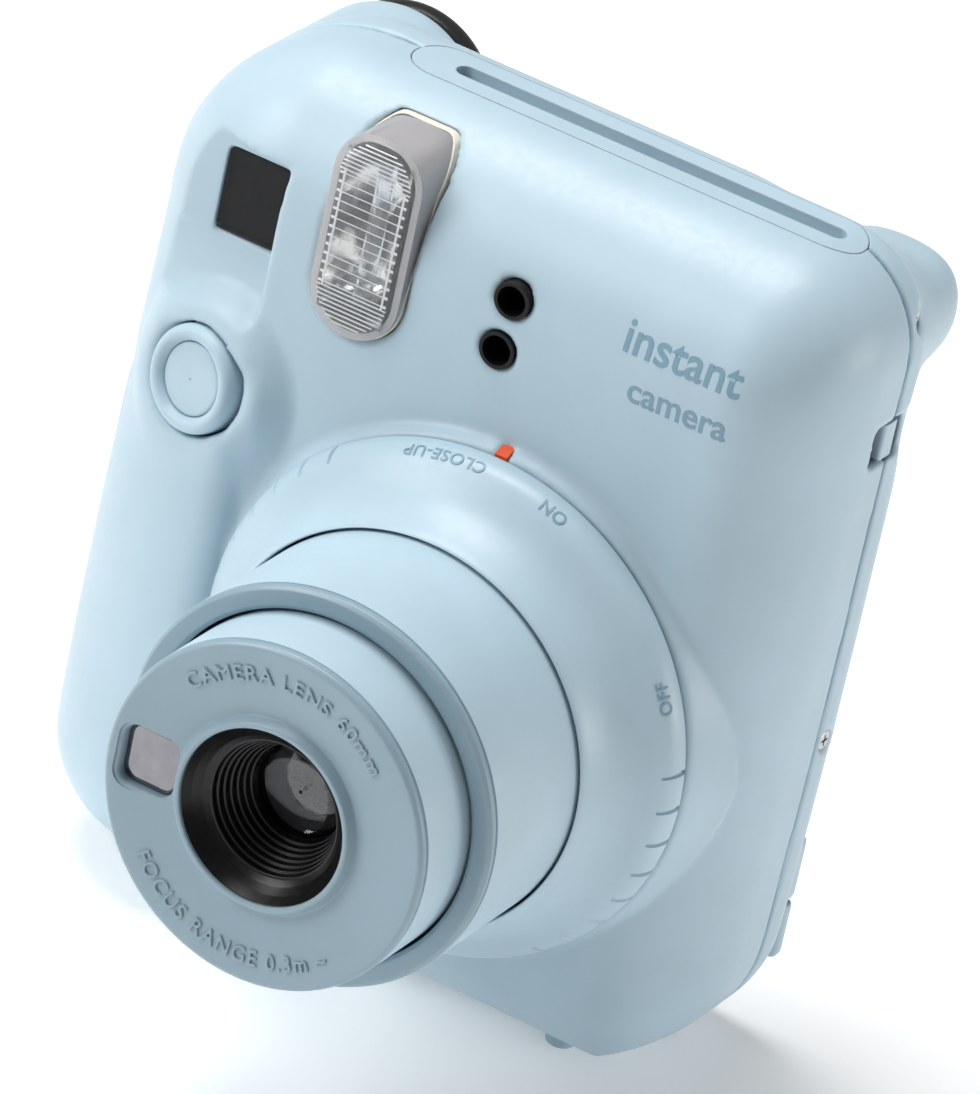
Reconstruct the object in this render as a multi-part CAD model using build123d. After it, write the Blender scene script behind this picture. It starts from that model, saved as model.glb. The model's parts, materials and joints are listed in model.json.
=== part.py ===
"""Mini-format instant camera with a twist-to-extend lens, built as named pieces.

Millimetres, +Z up, front (lens) towards -Y, +X to the right seen from the front.
X 0 is the middle of the body, Y 0 is half-way between lens face and eyepiece, Z 0 is the base.
"""
import os
from math import cos, pi, radians, sin, sqrt

from build123d import *

# ---- overall size -----------------------------------------------------------
TOP = 122.0          # height over the feet
BASE = 0.8           # underside of the covers, the feet stand 0.8 proud
LEFT = -52.0
RIGHT = 52.0
FRONT = -0.7         # main front face
BACK = 34.4          # main back face
WALL = 2.0
SEAM = 23.8          # plane where the front and rear covers meet
SEAM_GAP = 0.3

# corner radii of the front view and of the edges
R_TOP_LEFT = 24.0
R_TOP_RIGHT = 14.0
R_BOT_LEFT = 17.0
R_BOT_RIGHT = 20.0
R_FRONT_TOP = 19.0
R_FRONT_BOT = 18.0
R_BACK = 8.0
FRONT_CY = 18.3      # where the front edge rounding begins, in Y
FRONT_CXL = -30.0
FRONT_CXR = 37.5
BACK_CY = BACK - R_BACK
RIGHT_LEAN = 1.8     # the right side draws in by this much at the base

# ---- lens -------------------------------------------------------------------
LX = 11.0            # lens axis
LZ = 50.5
FACE_Y = -49.4       # lens face, extended
LIP_Y = -49.75       # front of the raised lip around the funnel
INNER_R = 23.5
INNER_BACK = -27.0
OUTER_R = 27.1
OUTER_Y = -38.4
OUTER_BACK = -10.5
INNER_TRAVEL = 11.35
OUTER_TRAVEL = 21.55
CONE_R = 27.4        # opening of the mode ring
CONE_Y = -16.8
RING_BACK = -3.1
SKIRT_R = 39.0       # widest part of the fixed skirt round the lens

# ---- film path ---------------------------------------------------------------
FILM_Y = 22.3        # plane the film leaves in
SLOT_X = (-18.6, 40.0)
SLOT_W = 3.0
PLATE_X = (-25.0, 43.0)
PLATE_HALF = 4.9      # half width of the seat of the film exit plate
PLATE_GAP = 0.12
CHAMBER_X = (-20.5, 42.5)
CHAMBER_Z = (9.0, 96.0)
CHAMBER_FRONT = 21.5
ROLLER_Z = 107.0
GEAR_M = 0.4
GEAR_TEETH = 20
PINION_TEETH = 8
GEAR_X = (42.2, 44.0)

# ---- viewfinder --------------------------------------------------------------
VF_X = (-39.3, -28.4)
VF_Z = (95.6, 107.4)
VF_Y = 4.0
EYE_X = -37.0
EYE_Z = 103.0
EYE_BACK = 49.75

# ---- flash -------------------------------------------------------------------
FL_X = -14.8
FL_Z = (92.0, 121.0)
FL_R = 6.6
FL_FRONT = -3.7
FL_BACK = 12.4
FL_DROP = 0.105       # fall of the top of the flash for each millimetre back
FL_GAP = 0.3          # seal between flash window and cover

# ---- release button -----------------------------------------------------------
BTN_POS = (-35.3, -3.3, 77.4)
BTN_DIR = (-0.262, -0.958, 0.115)
BTN_R = 7.35
BTN_CUP = 7.0        # depth of the well that the button sits in
BTN_GAP = 0.22       # play between button and well

# ---- back door ----------------------------------------------------------------
DOOR_X = (-22.9, 44.0)
DOOR_Z = (6.5, 98.2)
DOOR_Y = (34.7, 38.2)
HINGE_X = 46.4
HINGE_Y = 36.5

# ---- battery door --------------------------------------------------------------
BAT_Y = (6.5, 19.6)
BAT_Z = (14.0, 71.0)
BAT_HINGE = (-50.7, 20.8)
CELL_R = 7.25
CELL_LEN = 50.5
CELLS = ((-37.2, 9.6), (-39.0, 24.4))
CELL_Z0 = 15.0


# ---- small helpers --------------------------------------------------------------
def box(x0, x1, y0, y1, z0, z1):
    """Box given by its six limits."""
    size = Box(x1 - x0, y1 - y0, z1 - z0)
    return Pos((x0 + x1) / 2, (y0 + y1) / 2, (z0 + z1) / 2) * size


def cyl_x(y, z, r, x0, x1):
    """Cylinder along X."""
    return Pos((x0 + x1) / 2, y, z) * Rot(0, 90, 0) * Cylinder(r, x1 - x0)


def cyl_y(x, z, r, y0, y1):
    """Cylinder along Y."""
    return Pos(x, (y0 + y1) / 2, z) * Rot(90, 0, 0) * Cylinder(r, y1 - y0)


def cyl_z(x, y, r, z0, z1):
    """Cylinder along Z."""
    return Pos(x, y, (z0 + z1) / 2) * Cylinder(r, z1 - z0)


def turned(points, x=LX, z=LZ):
    """Solid of revolution about the Y line through (x, z); points are (radius, y)."""
    face = make_face(Polyline(*[(r, y) for r, y in points], close=True))
    return Pos(x, 0, z) * revolve(face, Axis.Y, 360)


def ring_y(r_out, r_in, y0, y1, x=LX, z=LZ):
    """Plain ring about the Y line through (x, z)."""
    return turned([(r_in, y0), (r_out, y0), (r_out, y1), (r_in, y1)], x, z)


def stadium_y(x, z0, z1, r, y0, y1):
    """Upright stadium prism along Y, z0 and z1 are its ends."""
    middle = box(x - r, x + r, y0, y1, z0 + r, z1 - r)
    return middle + cyl_y(x, z0 + r, r, y0, y1) + cyl_y(x, z1 - r, r, y0, y1)


def stadium_x(x0, x1, y, half, z0, z1):
    """Stadium prism along Z, long in X."""
    middle = box(x0 + half, x1 - half, y - half, y + half, z0, z1)
    return middle + cyl_z(x0 + half, y, half, z0, z1) + cyl_z(x1 - half, y, half, z0, z1)


def rounded_y(x0, x1, z0, z1, r, y0, y1):
    """Rounded rectangle prism along Y."""
    solid = box(x0, x1, y0, y1, z0, z1)
    return fillet(solid.edges().filter_by(Axis.Y), r)


def save(name, shape):
    """Write one piece as its own STEP file."""
    export_step(shape, os.path.join("parts", name + ".step"))
    limits = shape.bounding_box()
    print(name, [round(v, 1) for v in limits.min], [round(v, 1) for v in limits.max])


# ---- body form -------------------------------------------------------------------
def edge_inset(z, r_low, r_high, t):
    """How far a side draws in at height z, with rounded top and bottom edges and wall offset t."""
    low = BASE + r_low
    high = TOP - r_high
    if z < low:
        r = r_low - t
        d = low - z
    elif z > high:
        r = r_high - t
        d = z - high
    else:
        return t
    return t + r - sqrt(max(r * r - d * d, 0.0))


def bezier_quarter(p0, p3, first_along_x, z):
    """Quarter-ellipse from p0 to p3."""
    k = 0.5523
    dx = p3[0] - p0[0]
    dy = p3[1] - p0[1]
    if first_along_x:
        p1 = (p0[0] + k * dx, p0[1])
        p2 = (p3[0], p3[1] - k * dy)
    else:
        p1 = (p0[0], p0[1] + k * dy)
        p2 = (p3[0] - k * dx, p3[1])
    return Edge.make_bezier(*[(p[0], p[1], z) for p in (p0, p1, p2, p3)])


def straight(p0, p1, z):
    """Straight edge at height z."""
    return Edge.make_line((p0[0], p0[1], z), (p1[0], p1[1], z))


def right_side(z):
    """Nominal right side, drawn in a little towards the base."""
    return RIGHT - RIGHT_LEAN * max(0.0, (72.0 - z) / 72.0) ** 2


def body_section(z, t):
    """Closed outline of the body at height z, walls offset inwards by t."""
    least = 0.4
    xl = LEFT + edge_inset(z, R_BOT_LEFT, R_TOP_LEFT, t)
    xr = right_side(z) - edge_inset(z, R_BOT_RIGHT, R_TOP_RIGHT, t)
    yf = min(FRONT + edge_inset(z, R_FRONT_BOT, R_FRONT_TOP, t), FRONT_CY - least)
    yb = BACK - edge_inset(z, R_BACK, R_BACK, t)
    rb = max(yb - BACK_CY, least)
    cxl = max(FRONT_CXL, xl + least)
    cxr = min(FRONT_CXR, xr - least)
    a, b = (cxl, yf), (cxr, yf)
    c, d = (xr, FRONT_CY), (xr, yb - rb)
    e, f = (xr - rb, yb), (xl + rb, yb)
    g, h = (xl, yb - rb), (xl, FRONT_CY)
    return Wire([
        straight(a, b, z),
        bezier_quarter(b, c, True, z),
        straight(c, d, z),
        bezier_quarter(d, e, False, z),
        straight(e, f, z),
        bezier_quarter(f, g, True, z),
        straight(g, h, z),
        bezier_quarter(h, a, False, z),
    ])


def body_levels(t):
    """Heights of the body sections, close together where the edges round off."""
    low = [BASE + t + (R_FRONT_BOT - t) * (1 - sin(radians(a))) for a in (90, 79, 66, 52, 38, 22, 0)]
    mid = [30.0, 50.0, 72.0, 88.0, 98.0]
    high = [TOP - t - (R_FRONT_TOP - t) * (1 - sin(radians(a))) for a in (0, 18, 35, 50, 63, 74, 83, 90)]
    return low + mid + high


def body_solid(t):
    """Body form without the grip."""
    return Solid.make_loft([body_section(z, t) for z in body_levels(t)])


# (height, front) points of the grip column
GRIP_KNOTS = ((0.0, -4.6), (16.0, -5.5), (32.0, -5.8), (53.0, -5.1),
              (74.0, -2.5), (88.0, -0.2), (96.0, 1.6))
GRIP_RIGHT = -24.6
GRIP_PEAK = -30.0
GRIP_CY = 16.3
GRIP_TOP = 95.0


def grip_front(z):
    """Front of the grip column before its bottom edge is rounded."""
    for (z0, y0), (z1, y1) in zip(GRIP_KNOTS, GRIP_KNOTS[1:]):
        if z <= z1:
            return y0 + (y1 - y0) * (z - z0) / (z1 - z0)
    return GRIP_KNOTS[-1][1]


def grip_section(z, t):
    """Closed outline of the grip column at height z."""
    xl = LEFT + 0.4 + edge_inset(z, R_BOT_LEFT, R_TOP_LEFT, t)
    yg = min(grip_front(z) + edge_inset(z, R_FRONT_BOT + 2, 10.0, t), GRIP_CY - 1.0)
    small = min(5.0 - t * 0.5, GRIP_CY - yg - 0.5)
    a, b = (xl, GRIP_CY), (GRIP_PEAK, yg)
    c, d = (GRIP_RIGHT - t, yg + small), (GRIP_RIGHT - t, GRIP_CY)
    return Wire([
        bezier_quarter(a, b, False, z),
        bezier_quarter(b, c, True, z),
        straight(c, d, z),
        straight(d, a, z),
    ])


def grip_solid(t):
    """Rounded column on the left for the hand."""
    foot = BASE + t + 0.5
    low = [foot + (R_FRONT_BOT + 1.5 - t) * (1 - sin(radians(a))) for a in (90, 77, 62, 46, 28, 0)]
    levels = low + [32.0, 44.0, 56.0, 66.0, 76.0, 86.0, GRIP_TOP]
    return Solid.make_loft([grip_section(z, t) for z in levels])


def scoop(grow):
    """Hollow in front of the viewfinder window: level floor, ramp below it."""
    x0 = -50.0
    x1 = VF_X[1] + grow
    y_out = -12.0
    upper = box(x0, x1, y_out, VF_Y + grow, VF_Z[0], 109.9 + grow)
    rear_high = [(x1, VF_Y + grow), (x0, VF_Y + 0.6 + grow)]
    rear_low = [(x1, FRONT - 0.4 + grow), (x0, VF_Y + 2.4 + grow)]
    high = Wire.make_polygon([(x, y, VF_Z[0]) for x, y in [(x0, y_out), (x1, y_out), *rear_high]])
    z_low = 85.6 - grow
    low = Wire.make_polygon([(x, y, z_low) for x, y in [(x0, y_out), (x1, y_out), *rear_low]])
    return upper + Solid.make_loft([high, low], True)


# ---- covers ---------------------------------------------------------------------
def button_plane(offset=0.0):
    """Plane of the release button, moved out along the button axis by offset."""
    n = Vector(*BTN_DIR).normalized()
    origin = Vector(*BTN_POS) + n * offset
    return Plane(origin=(origin.X, origin.Y, origin.Z), x_dir=(0.96, -0.27, 0), z_dir=(n.X, n.Y, n.Z))


def button_cylinder(r, low, high):
    """Cylinder on the button axis, low and high are measured outwards from the button face."""
    return button_plane((low + high) / 2) * Cylinder(r, high - low)


def outer_form():
    """Outside of both covers together, before any opening is cut."""
    return body_solid(0) + grip_solid(0)


def inner_form():
    """Hollow inside both covers."""
    return body_solid(WALL) + grip_solid(WALL)


def lens_skirt():
    """Fixed skirt that the mode ring runs against."""
    rim = [(35.7, RING_BACK + 0.3), (36.5, -0.6), (37.2, 2.0), (SKIRT_R, 8.5), (SKIRT_R + 0.3, 11.5)]
    return turned([(34.3, RING_BACK + 0.3), *rim, (34.3, 11.5)])


SCREWS_SIDE = ((51.8, 26.7, 50.8), (50.0, 27.4, 112.4))
SCREWS_BASE = ((-38.0, 27.3), (39.0, 27.3))
FEET_FRONT = ((30.5, 13.0), (-29.0, 13.0))
FEET_REAR = ((29.0, 26.9), (-29.0, 26.9))
FOOT_R = 2.2
AE_HOLES = ((6.9, 106.3), (6.3, 98.9))
AE_R = 2.6
STRAP_Z = 97.0
BUMP_X = (29.5, 50.2)
BUMP_Z = (99.4, 116.5)
BUMP_BACK = 46.0
EYE_BUMP_R = 14.0
EYE_BUMP_BACK = 44.6


def index_wedge(r0, r1, y0, y1):
    """Short arc segment of the index mark on the skirt."""
    ring = ring_y(r1, r0, y0, y1)
    return ring & box(LX - 0.9, LX + 0.9, y0 - 1, y1 + 1, LZ, LZ + 60)


def battery_opening(gap):
    """Region of the side wall that the battery door fills, smaller by gap all round."""
    return box(-60, -43.0, BAT_Y[0] + gap, BAT_Y[1] - gap, BAT_Z[0] + gap, BAT_Z[1] - gap)


def front_cover(outer, inner):
    """Front cover with grip, lens skirt and the openings in it."""
    well = button_cylinder(BTN_R + BTN_GAP, -BTN_CUP, 6)
    cup = button_cylinder(BTN_R + 1.25, -BTN_CUP - 0.7, 4) - well
    wall_more = scoop(1.6) + cup
    wall_more += cyl_y(AE_HOLES[0][0], AE_HOLES[0][1], AE_R + 1.2, -3, 5.5)
    wall_more += cyl_y(AE_HOLES[1][0], AE_HOLES[1][1], AE_R + 1.2, -3, 5.5)
    shell = outer - (inner - wall_more)
    shell = shell + (lens_skirt() - inner)
    shell = shell & box(-80, 80, -60, SEAM - SEAM_GAP / 2, -10, 200)
    lip = (body_solid(1.15) - body_solid(WALL)) & box(-80, 80, SEAM - 1.5, SEAM + 1.8, 1.5, 121)
    shell = shell + lip
    shell = shell - scoop(0)
    shell = shell - cyl_y(LX, LZ, 34.3, -30, 14)
    shell = shell - box(VF_X[0] - 0.2, VF_X[1] - 1.2, 1, 8, VF_Z[0] + 0.2, VF_Z[1] + 0.4)
    shell = shell - flash_form(FL_GAP, -6, FL_BACK + 0.1)
    for x, z in AE_HOLES:
        shell = shell - cyl_y(x, z, AE_R, -4, 8)
    shell = shell - well
    shell = shell - battery_opening(0.0)
    groove = cyl_z(BAT_HINGE[0], BAT_HINGE[1], 1.55, BAT_Z[0], BAT_Z[1])
    shell = shell - cyl_z(*BAT_HINGE, 0.5, BAT_Z[0] - 2, BAT_Z[1] + 2)
    shell = shell - groove - box(-55, BAT_HINGE[0], BAT_Y[1] - 1, BAT_HINGE[1] + 1.6, BAT_Z[0], BAT_Z[1])
    shell = shell - strap_pocket(0.0)
    shell = shell - exit_plate_seat() - index_wedge(34.9, 38, RING_BACK - 1, -0.7)
    for x, y in FEET_FRONT:
        shell = shell - cyl_z(x, y, FOOT_R, -1, 3.0)
    return shell.solids().sort_by(SortBy.VOLUME)[-1]


def strap_pocket(grow):
    """Pocket across the seam on the right side for a wrist strap loop."""
    half = 2.6 + grow
    return box(RIGHT - 4.6 - grow, RIGHT + 3, SEAM - 5.0, SEAM + 4.2, STRAP_Z - half, STRAP_Z + half)


def exit_plate_seat():
    """Seat for the film exit plate in the top of the covers."""
    return stadium_x(*PLATE_X, FILM_Y, PLATE_HALF, TOP - 2.7, TOP + 3)


def rear_cover(outer, inner):
    """Rear cover with eyepiece bump, corner bump, film door opening and hinge knuckles."""
    shell = outer - inner
    shell = shell & box(-80, 80, SEAM + SEAM_GAP / 2, 60, -10, 200)
    lip_room = (body_solid(0.95) - body_solid(WALL + 0.5)) & box(-80, 80, SEAM - 1, SEAM + 2.1, 1.2, 121.4)
    shell = shell - lip_room
    eye = cyl_y(EYE_X, EYE_Z, EYE_BUMP_R, BACK - 2.0, EYE_BUMP_BACK)
    eye = fillet(eye.edges().group_by(Axis.Y)[-1], 3.0)
    shell = shell + (eye & box(-51.6, -20, BACK - 6, 60, 80, 118.5))
    bump = box(BUMP_X[0], BUMP_X[1], BACK_CY, BUMP_BACK, BUMP_Z[0], BUMP_Z[1])
    bump = fillet(bump.edges().filter_by(Axis.Y), 7.0)
    bump = fillet(bump.edges().group_by(Axis.Y)[-1], 5.5)
    skin = 2.4
    hollow = box(BUMP_X[0] + skin, BUMP_X[1] - skin, BACK_CY - 4, BUMP_BACK - skin,
                 BUMP_Z[0] + skin, BUMP_Z[1] - skin)
    hollow = fillet(hollow.edges().filter_by(Axis.Y), 4.6)
    shell = shell + (bump - inner)
    shell = shell - hollow
    shell = shell - cyl_y(EYE_X, EYE_Z, 10.0, BACK - 6, 60)
    shell = shell - box(CHAMBER_X[0] - 1.5, CHAMBER_X[1] + 1.5, BACK - 5, BACK + 3,
                        CHAMBER_Z[0] - 1.5, CHAMBER_Z[1] + 1.5)
    shell = shell - exit_plate_seat() - strap_pocket(0.0)
    for z0, z1 in COVER_KNUCKLES:
        arm = box(HINGE_X - 1.9, HINGE_X + 1.9, BACK - 1.4, HINGE_Y, z0, z1)
        shell = shell + arm + cyl_z(HINGE_X, HINGE_Y, 1.9, z0, z1)
    shell = shell - cyl_z(HINGE_X, HINGE_Y, 0.8, 5, 100)
    for z0, z1 in DOOR_KNUCKLES:
        shell = shell - cyl_z(HINGE_X, HINGE_Y, 2.45, z0 - 0.3, z1 + 0.3)
    shell = shell - cyl_y(*COUNTER_POS, 2.9, BACK - 4, BACK + 2)
    shell = shell - box(LATCH_X[0] - 0.4, LATCH_X[1] + 0.4, BACK - 4, BACK + 2,
                        LATCH_Z[0] - 3.2, LATCH_Z[1] + 0.4)
    for x, y, z in SCREWS_SIDE:
        shell = shell - cyl_x(y, z, 1.6, x - 1.1, x + 4) - cyl_x(y, z, 0.85, x - 8, x)
    for x, y in SCREWS_BASE:
        shell = shell - cyl_z(x, y, 1.6, -1, BASE + 1.1) - cyl_z(x, y, 0.85, 0, 8)
    for x, y in FEET_REAR:
        shell = shell - cyl_z(x, y, FOOT_R, -1, 1.8)
    return shell.solids().sort_by(SortBy.VOLUME)[-1]


COVER_KNUCKLES = ((20.6, 30.0), (54.0, 66.0), (82.0, 90.0))
DOOR_KNUCKLES = ((12.0, 20.0), (44.0, 53.4), (72.0, 81.4))
COUNTER_POS = (-36.5, 9.9)
COUNTER_R = 4.2
LATCH_X = (-33.0, -27.5)
LATCH_Z = (50.0, 60.0)


def battery_door(outer, inner):
    """Curved side door over the cells with its hinge barrel and finger groove."""
    skin = (outer - inner) & battery_opening(0.3)
    skin = skin.solids().sort_by(SortBy.VOLUME)[-1]
    door = skin
    for z0, z1 in BAT_DOOR_KNUCKLES:
        arm = box(BAT_HINGE[0] - 1.0, BAT_HINGE[0] + 0.3, BAT_Y[1] - 0.9, BAT_HINGE[1], z0, z1)
        door = door + arm + cyl_z(*BAT_HINGE, 1.1, z0, z1)
    door = door - cyl_z(*BAT_HINGE, 0.55, BAT_Z[0] - 2, BAT_Z[1] + 2)
    door = door - cyl_z(LEFT - 1.2, BAT_Y[0] + 7.5, 2.2, BAT_Z[0] + 20, BAT_Z[0] + 34)
    return door


BAT_DOOR_KNUCKLES = ((18.0, 28.0), (57.0, 67.0))


def exit_plate(outer):
    """Flush plate in the top with the film slot."""
    x0, x1 = PLATE_X[0] + PLATE_GAP, PLATE_X[1] - PLATE_GAP
    plate = stadium_x(x0, x1, FILM_Y, PLATE_HALF - PLATE_GAP, TOP - 2.6, TOP + 1) & outer
    return plate - stadium_x(SLOT_X[0], SLOT_X[1], FILM_Y, SLOT_W / 2, TOP - 4, TOP + 1)


def exit_flap():
    """Light seal flap in the slot, hinged on a thin rod."""
    y0 = FILM_Y - SLOT_W / 2 + 0.4
    flap = box(SLOT_X[0] + 1.6, SLOT_X[1] - 1.6, y0, FILM_Y + SLOT_W / 2 - 0.4, TOP - 3.6, TOP - 2.9)
    rod = cyl_x(y0, TOP - 3.25, 0.45, SLOT_X[0] + 0.6, SLOT_X[1] - 0.6)
    return flap + rod


def mode_ring():
    """Flared ring that is turned to switch on and to focus."""
    outer = [(CONE_R, CONE_Y + 0.3), (27.7, CONE_Y), (28.15, -16.0), (28.75, -14.0), (29.7, -11.8),
             (31.0, -9.9), (32.5, -8.5), (33.8, -7.5), (34.8, -6.5), (35.4, -5.3), (35.6, -4.1),
             (35.6, RING_BACK)]
    under = [(34.2, RING_BACK), (34.1, -4.6), (33.3, -5.7), (31.6, -7.1), (30.4, -8.3), (29.7, -9.3),
             (CONE_R, -9.3)]
    curve = Spline(*outer[2:])
    lines = [Line(outer[0], outer[1]), Line(outer[1], outer[2]), curve]
    lines += [Polyline(outer[-1], *under, outer[0])]
    ring = Pos(LX, 0, LZ) * revolve(make_face(lines), Axis.Y, 360)
    for k in range(8):
        ring = ring - grip_groove(82.0 + 8.4 * k)
        ring = ring - grip_groove(262.0 + 8.4 * k)
    return ring


def grip_groove(angle):
    """Short axial groove on the shoulder of the mode ring."""
    cut = box(-0.3, 0.3, -7.2, -3.8, 34.55, 37.0)
    return Pos(LX, 0, LZ) * Rot(0, angle, 0) * cut


def cam_tube():
    """Helical cam tube behind the mode ring."""
    tube = ring_y(28.9, CONE_R, -9.3, 11.0)
    for k in range(3):
        slot = Rot(0, 120 * k + 30, 0) * box(-1.2, 1.2, -6.5, 8.0, 26, 30)
        tube = tube - Pos(LX, 0, LZ) * slot
    return tube


def guide_tube():
    """Fixed tube and flange that carry the lens assembly on the front cover."""
    tube = ring_y(30.3, 29.2, -7.4, 11.4)
    flange = ring_y(34.1, 30.0, -0.9, 1.1)
    foot = ring_y(33.5, 28.0, 11.4, 12.6)
    return tube + flange + foot


def outer_barrel():
    """Outer lens barrel."""
    tube = ring_y(OUTER_R, OUTER_R - 1.2, OUTER_Y + 1.75, OUTER_BACK)
    tube = tube + ring_y(OUTER_R - 0.35, INNER_R + 0.45, OUTER_Y + 1.25, OUTER_Y + 2.6)
    return tube + ring_y(OUTER_R - 1.0, 24.2, OUTER_BACK - 1.6, OUTER_BACK)


def outer_cap():
    """Front ring of the outer barrel."""
    y0 = OUTER_Y
    front = [(INNER_R + 0.45, y0 + 0.5), (INNER_R + 1.0, y0 + 0.12), (OUTER_R - 0.55, y0)]
    return turned([*front, (OUTER_R, y0 + 0.45), (OUTER_R, y0 + 1.25), (INNER_R + 0.45, y0 + 1.25)])


def inner_barrel():
    """Inner lens barrel."""
    tube = ring_y(INNER_R, INNER_R - 1.2, FACE_Y + 1.7, INNER_BACK)
    tube = tube + ring_y(INNER_R - 0.35, INNER_R - 1.2, FACE_Y + 1.25, FACE_Y + 1.8)
    return tube


MIRROR_X = (-21.4, -13.4)
MIRROR_HALF = 4.2


def lens_face():
    """Front plate of the lens with the funnel lip and the mirror recess."""
    rear = FACE_Y + 1.25
    rim = [(INNER_R - 0.5, FACE_Y), (INNER_R, FACE_Y + 0.45), (INNER_R, rear)]
    plate = turned([(0, FACE_Y), *rim, (0, rear)])
    crown = [(12.15, LIP_Y + 0.08), (12.5, LIP_Y), (12.85, LIP_Y + 0.08)]
    lip = turned([(12.0, FACE_Y + 0.1), *crown, (13.3, FACE_Y + 0.1)])
    plate = plate + lip - cyl_y(LX, LZ, 12.0, LIP_Y - 1, FACE_Y + 3)
    recess = rounded_y(LX + MIRROR_X[0], LX + MIRROR_X[1], LZ - MIRROR_HALF, LZ + MIRROR_HALF, 1.8,
                       FACE_Y - 1, FACE_Y + 3)
    return plate - recess


def selfie_mirror():
    """Small convex mirror in a tray behind the lens face."""
    half = MIRROR_HALF - 0.1
    slab = rounded_y(LX + MIRROR_X[0] + 0.1, LX + MIRROR_X[1] - 0.1, LZ - half, LZ + half,
                     1.7, FACE_Y + 0.75, FACE_Y + 2.3)
    mid = LX + sum(MIRROR_X) / 2
    dome = Pos(mid, FACE_Y + 1.05 + 60.0, LZ) * Sphere(60.0)
    return slab & dome


def funnel_steps():
    """Radii and depths of the stepped black funnel, front to back."""
    steps = [(11.9, FACE_Y + 0.15), (11.3, FACE_Y + 1.3), (10.6, FACE_Y + 2.2)]
    r, y = 10.6, FACE_Y + 2.2
    for _ in range(5):
        steps.append((r - 0.65, y + 0.05))
        steps.append((r - 0.8, y + 1.45))
        r, y = r - 0.95, y + 1.5
    return steps + [(r - 0.2, y)]


def lens_funnel():
    """Black stepped funnel between lens face and front glass."""
    inside = funnel_steps()
    r_end, y_end = inside[-1]
    outside = [(r_end, y_end + 1.0), (8.4, y_end + 1.0), (11.9, FACE_Y + 3.2)]
    return turned(inside + outside)


LENS_Y = FACE_Y + 10.9


def lens_element(y, r, thick, bulge_front, bulge_back):
    """Biconvex glass, edge at radius r."""
    pts = [(0.0, y - bulge_front), (r * 0.5, y - bulge_front * 0.75), (r, y), (r, y + thick)]
    pts += [(r * 0.5, y + thick + bulge_back * 0.75), (0.0, y + thick + bulge_back)]
    return turned(pts)


def lens_cell():
    """Tube holding the two glass elements and the shutter."""
    tube = ring_y(9.8, 8.6, LENS_Y + 1.2, -31.8)
    front = ring_y(9.8, 6.65, LENS_Y + 0.15, LENS_Y + 1.2)
    flange = ring_y(22.1, 9.8, -33.2, -31.8)
    stop = ring_y(8.8, 3.2, -36.2, -35.6)
    return tube + front + flange + stop


BLADE_PIVOT = (10.5, -8.0)


def shutter_blade(side):
    """One of two thin pivoting blades that meet behind the rear glass."""
    y0, y1 = (-31.2, -30.95) if side > 0 else (-30.6, -30.35)
    px, pz = BLADE_PIVOT
    blade = box(-0.3, 5.6, y0, y1, -5.6, 5.6)
    blade = fillet(blade.edges().filter_by(Axis.Y), 0.8)
    blade = blade + box(3.6, px, y0, y1, pz - 0.9, -4.4) + cyl_y(px, pz, 1.4, y0, y1)
    blade = blade - cyl_y(px, pz, 0.5, y0 - 1, y1 + 1)
    if side < 0:
        blade = mirror(blade, Plane.YZ)
    return Pos(LX, 0, LZ) * blade


def shutter_base():
    """Base plate behind the blades with the two pivot pins and the light baffle cone."""
    plate = ring_y(22.1, 4.6, -29.9, -29.3)
    cone = turned([(22.1, -27.9), (22.1, -27.2), (17.0, -27.2), (9.0, -28.6),
                   (9.0, -29.4), (9.8, -29.4), (17.2, -27.9)])
    wall = ring_y(22.1, 21.3, -29.4, -27.2)
    for s in (-1, 1):
        plate = plate + cyl_y(LX + s * BLADE_PIVOT[0], LZ + BLADE_PIVOT[1], 0.45, -31.5, -29.6)
    return plate + cone + wall


def light_box():
    """Black tapered box between lens and picture frame."""
    z_mid = 52.0
    def frame_wire(hx, hz, y):
        return Wire.make_polygon([(LX - hx, y, z_mid - hz), (LX + hx, y, z_mid - hz),
                                  (LX + hx, y, z_mid + hz), (LX - hx, y, z_mid + hz)])
    outside = Solid.make_loft([frame_wire(21.5, 21.5, 12.8), frame_wire(25.2, 33.5, 19.8)], True)
    inside = Solid.make_loft([frame_wire(20.0, 20.0, 12.0), frame_wire(23.7, 32.0, 20.6)], True)
    return outside - inside


def film_chamber():
    """Black film tray with the picture frame opening, a lid-less box open to the back."""
    x0, x1 = CHAMBER_X
    z0, z1 = CHAMBER_Z
    tray = rounded_y(x0 - 1.3, x1 + 1.3, z0 - 1.3, z1 + 1.3, 5.0, CHAMBER_FRONT - 1.5, BACK - 0.2)
    tray = tray - rounded_y(x0, x1, z0, z1, 3.7, CHAMBER_FRONT, BACK + 2)
    tray = tray - box(LX - 23.0, LX + 23.0, CHAMBER_FRONT - 3, CHAMBER_FRONT + 1, 52.0 - 31.0, 52.0 + 31.0)
    tray = tray - box(LX - 28.5, LX + 28.5, CHAMBER_FRONT + 0.2, CHAMBER_FRONT + 2.4, z1 - 1, z1 + 3)
    return tray + counter_post()


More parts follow.
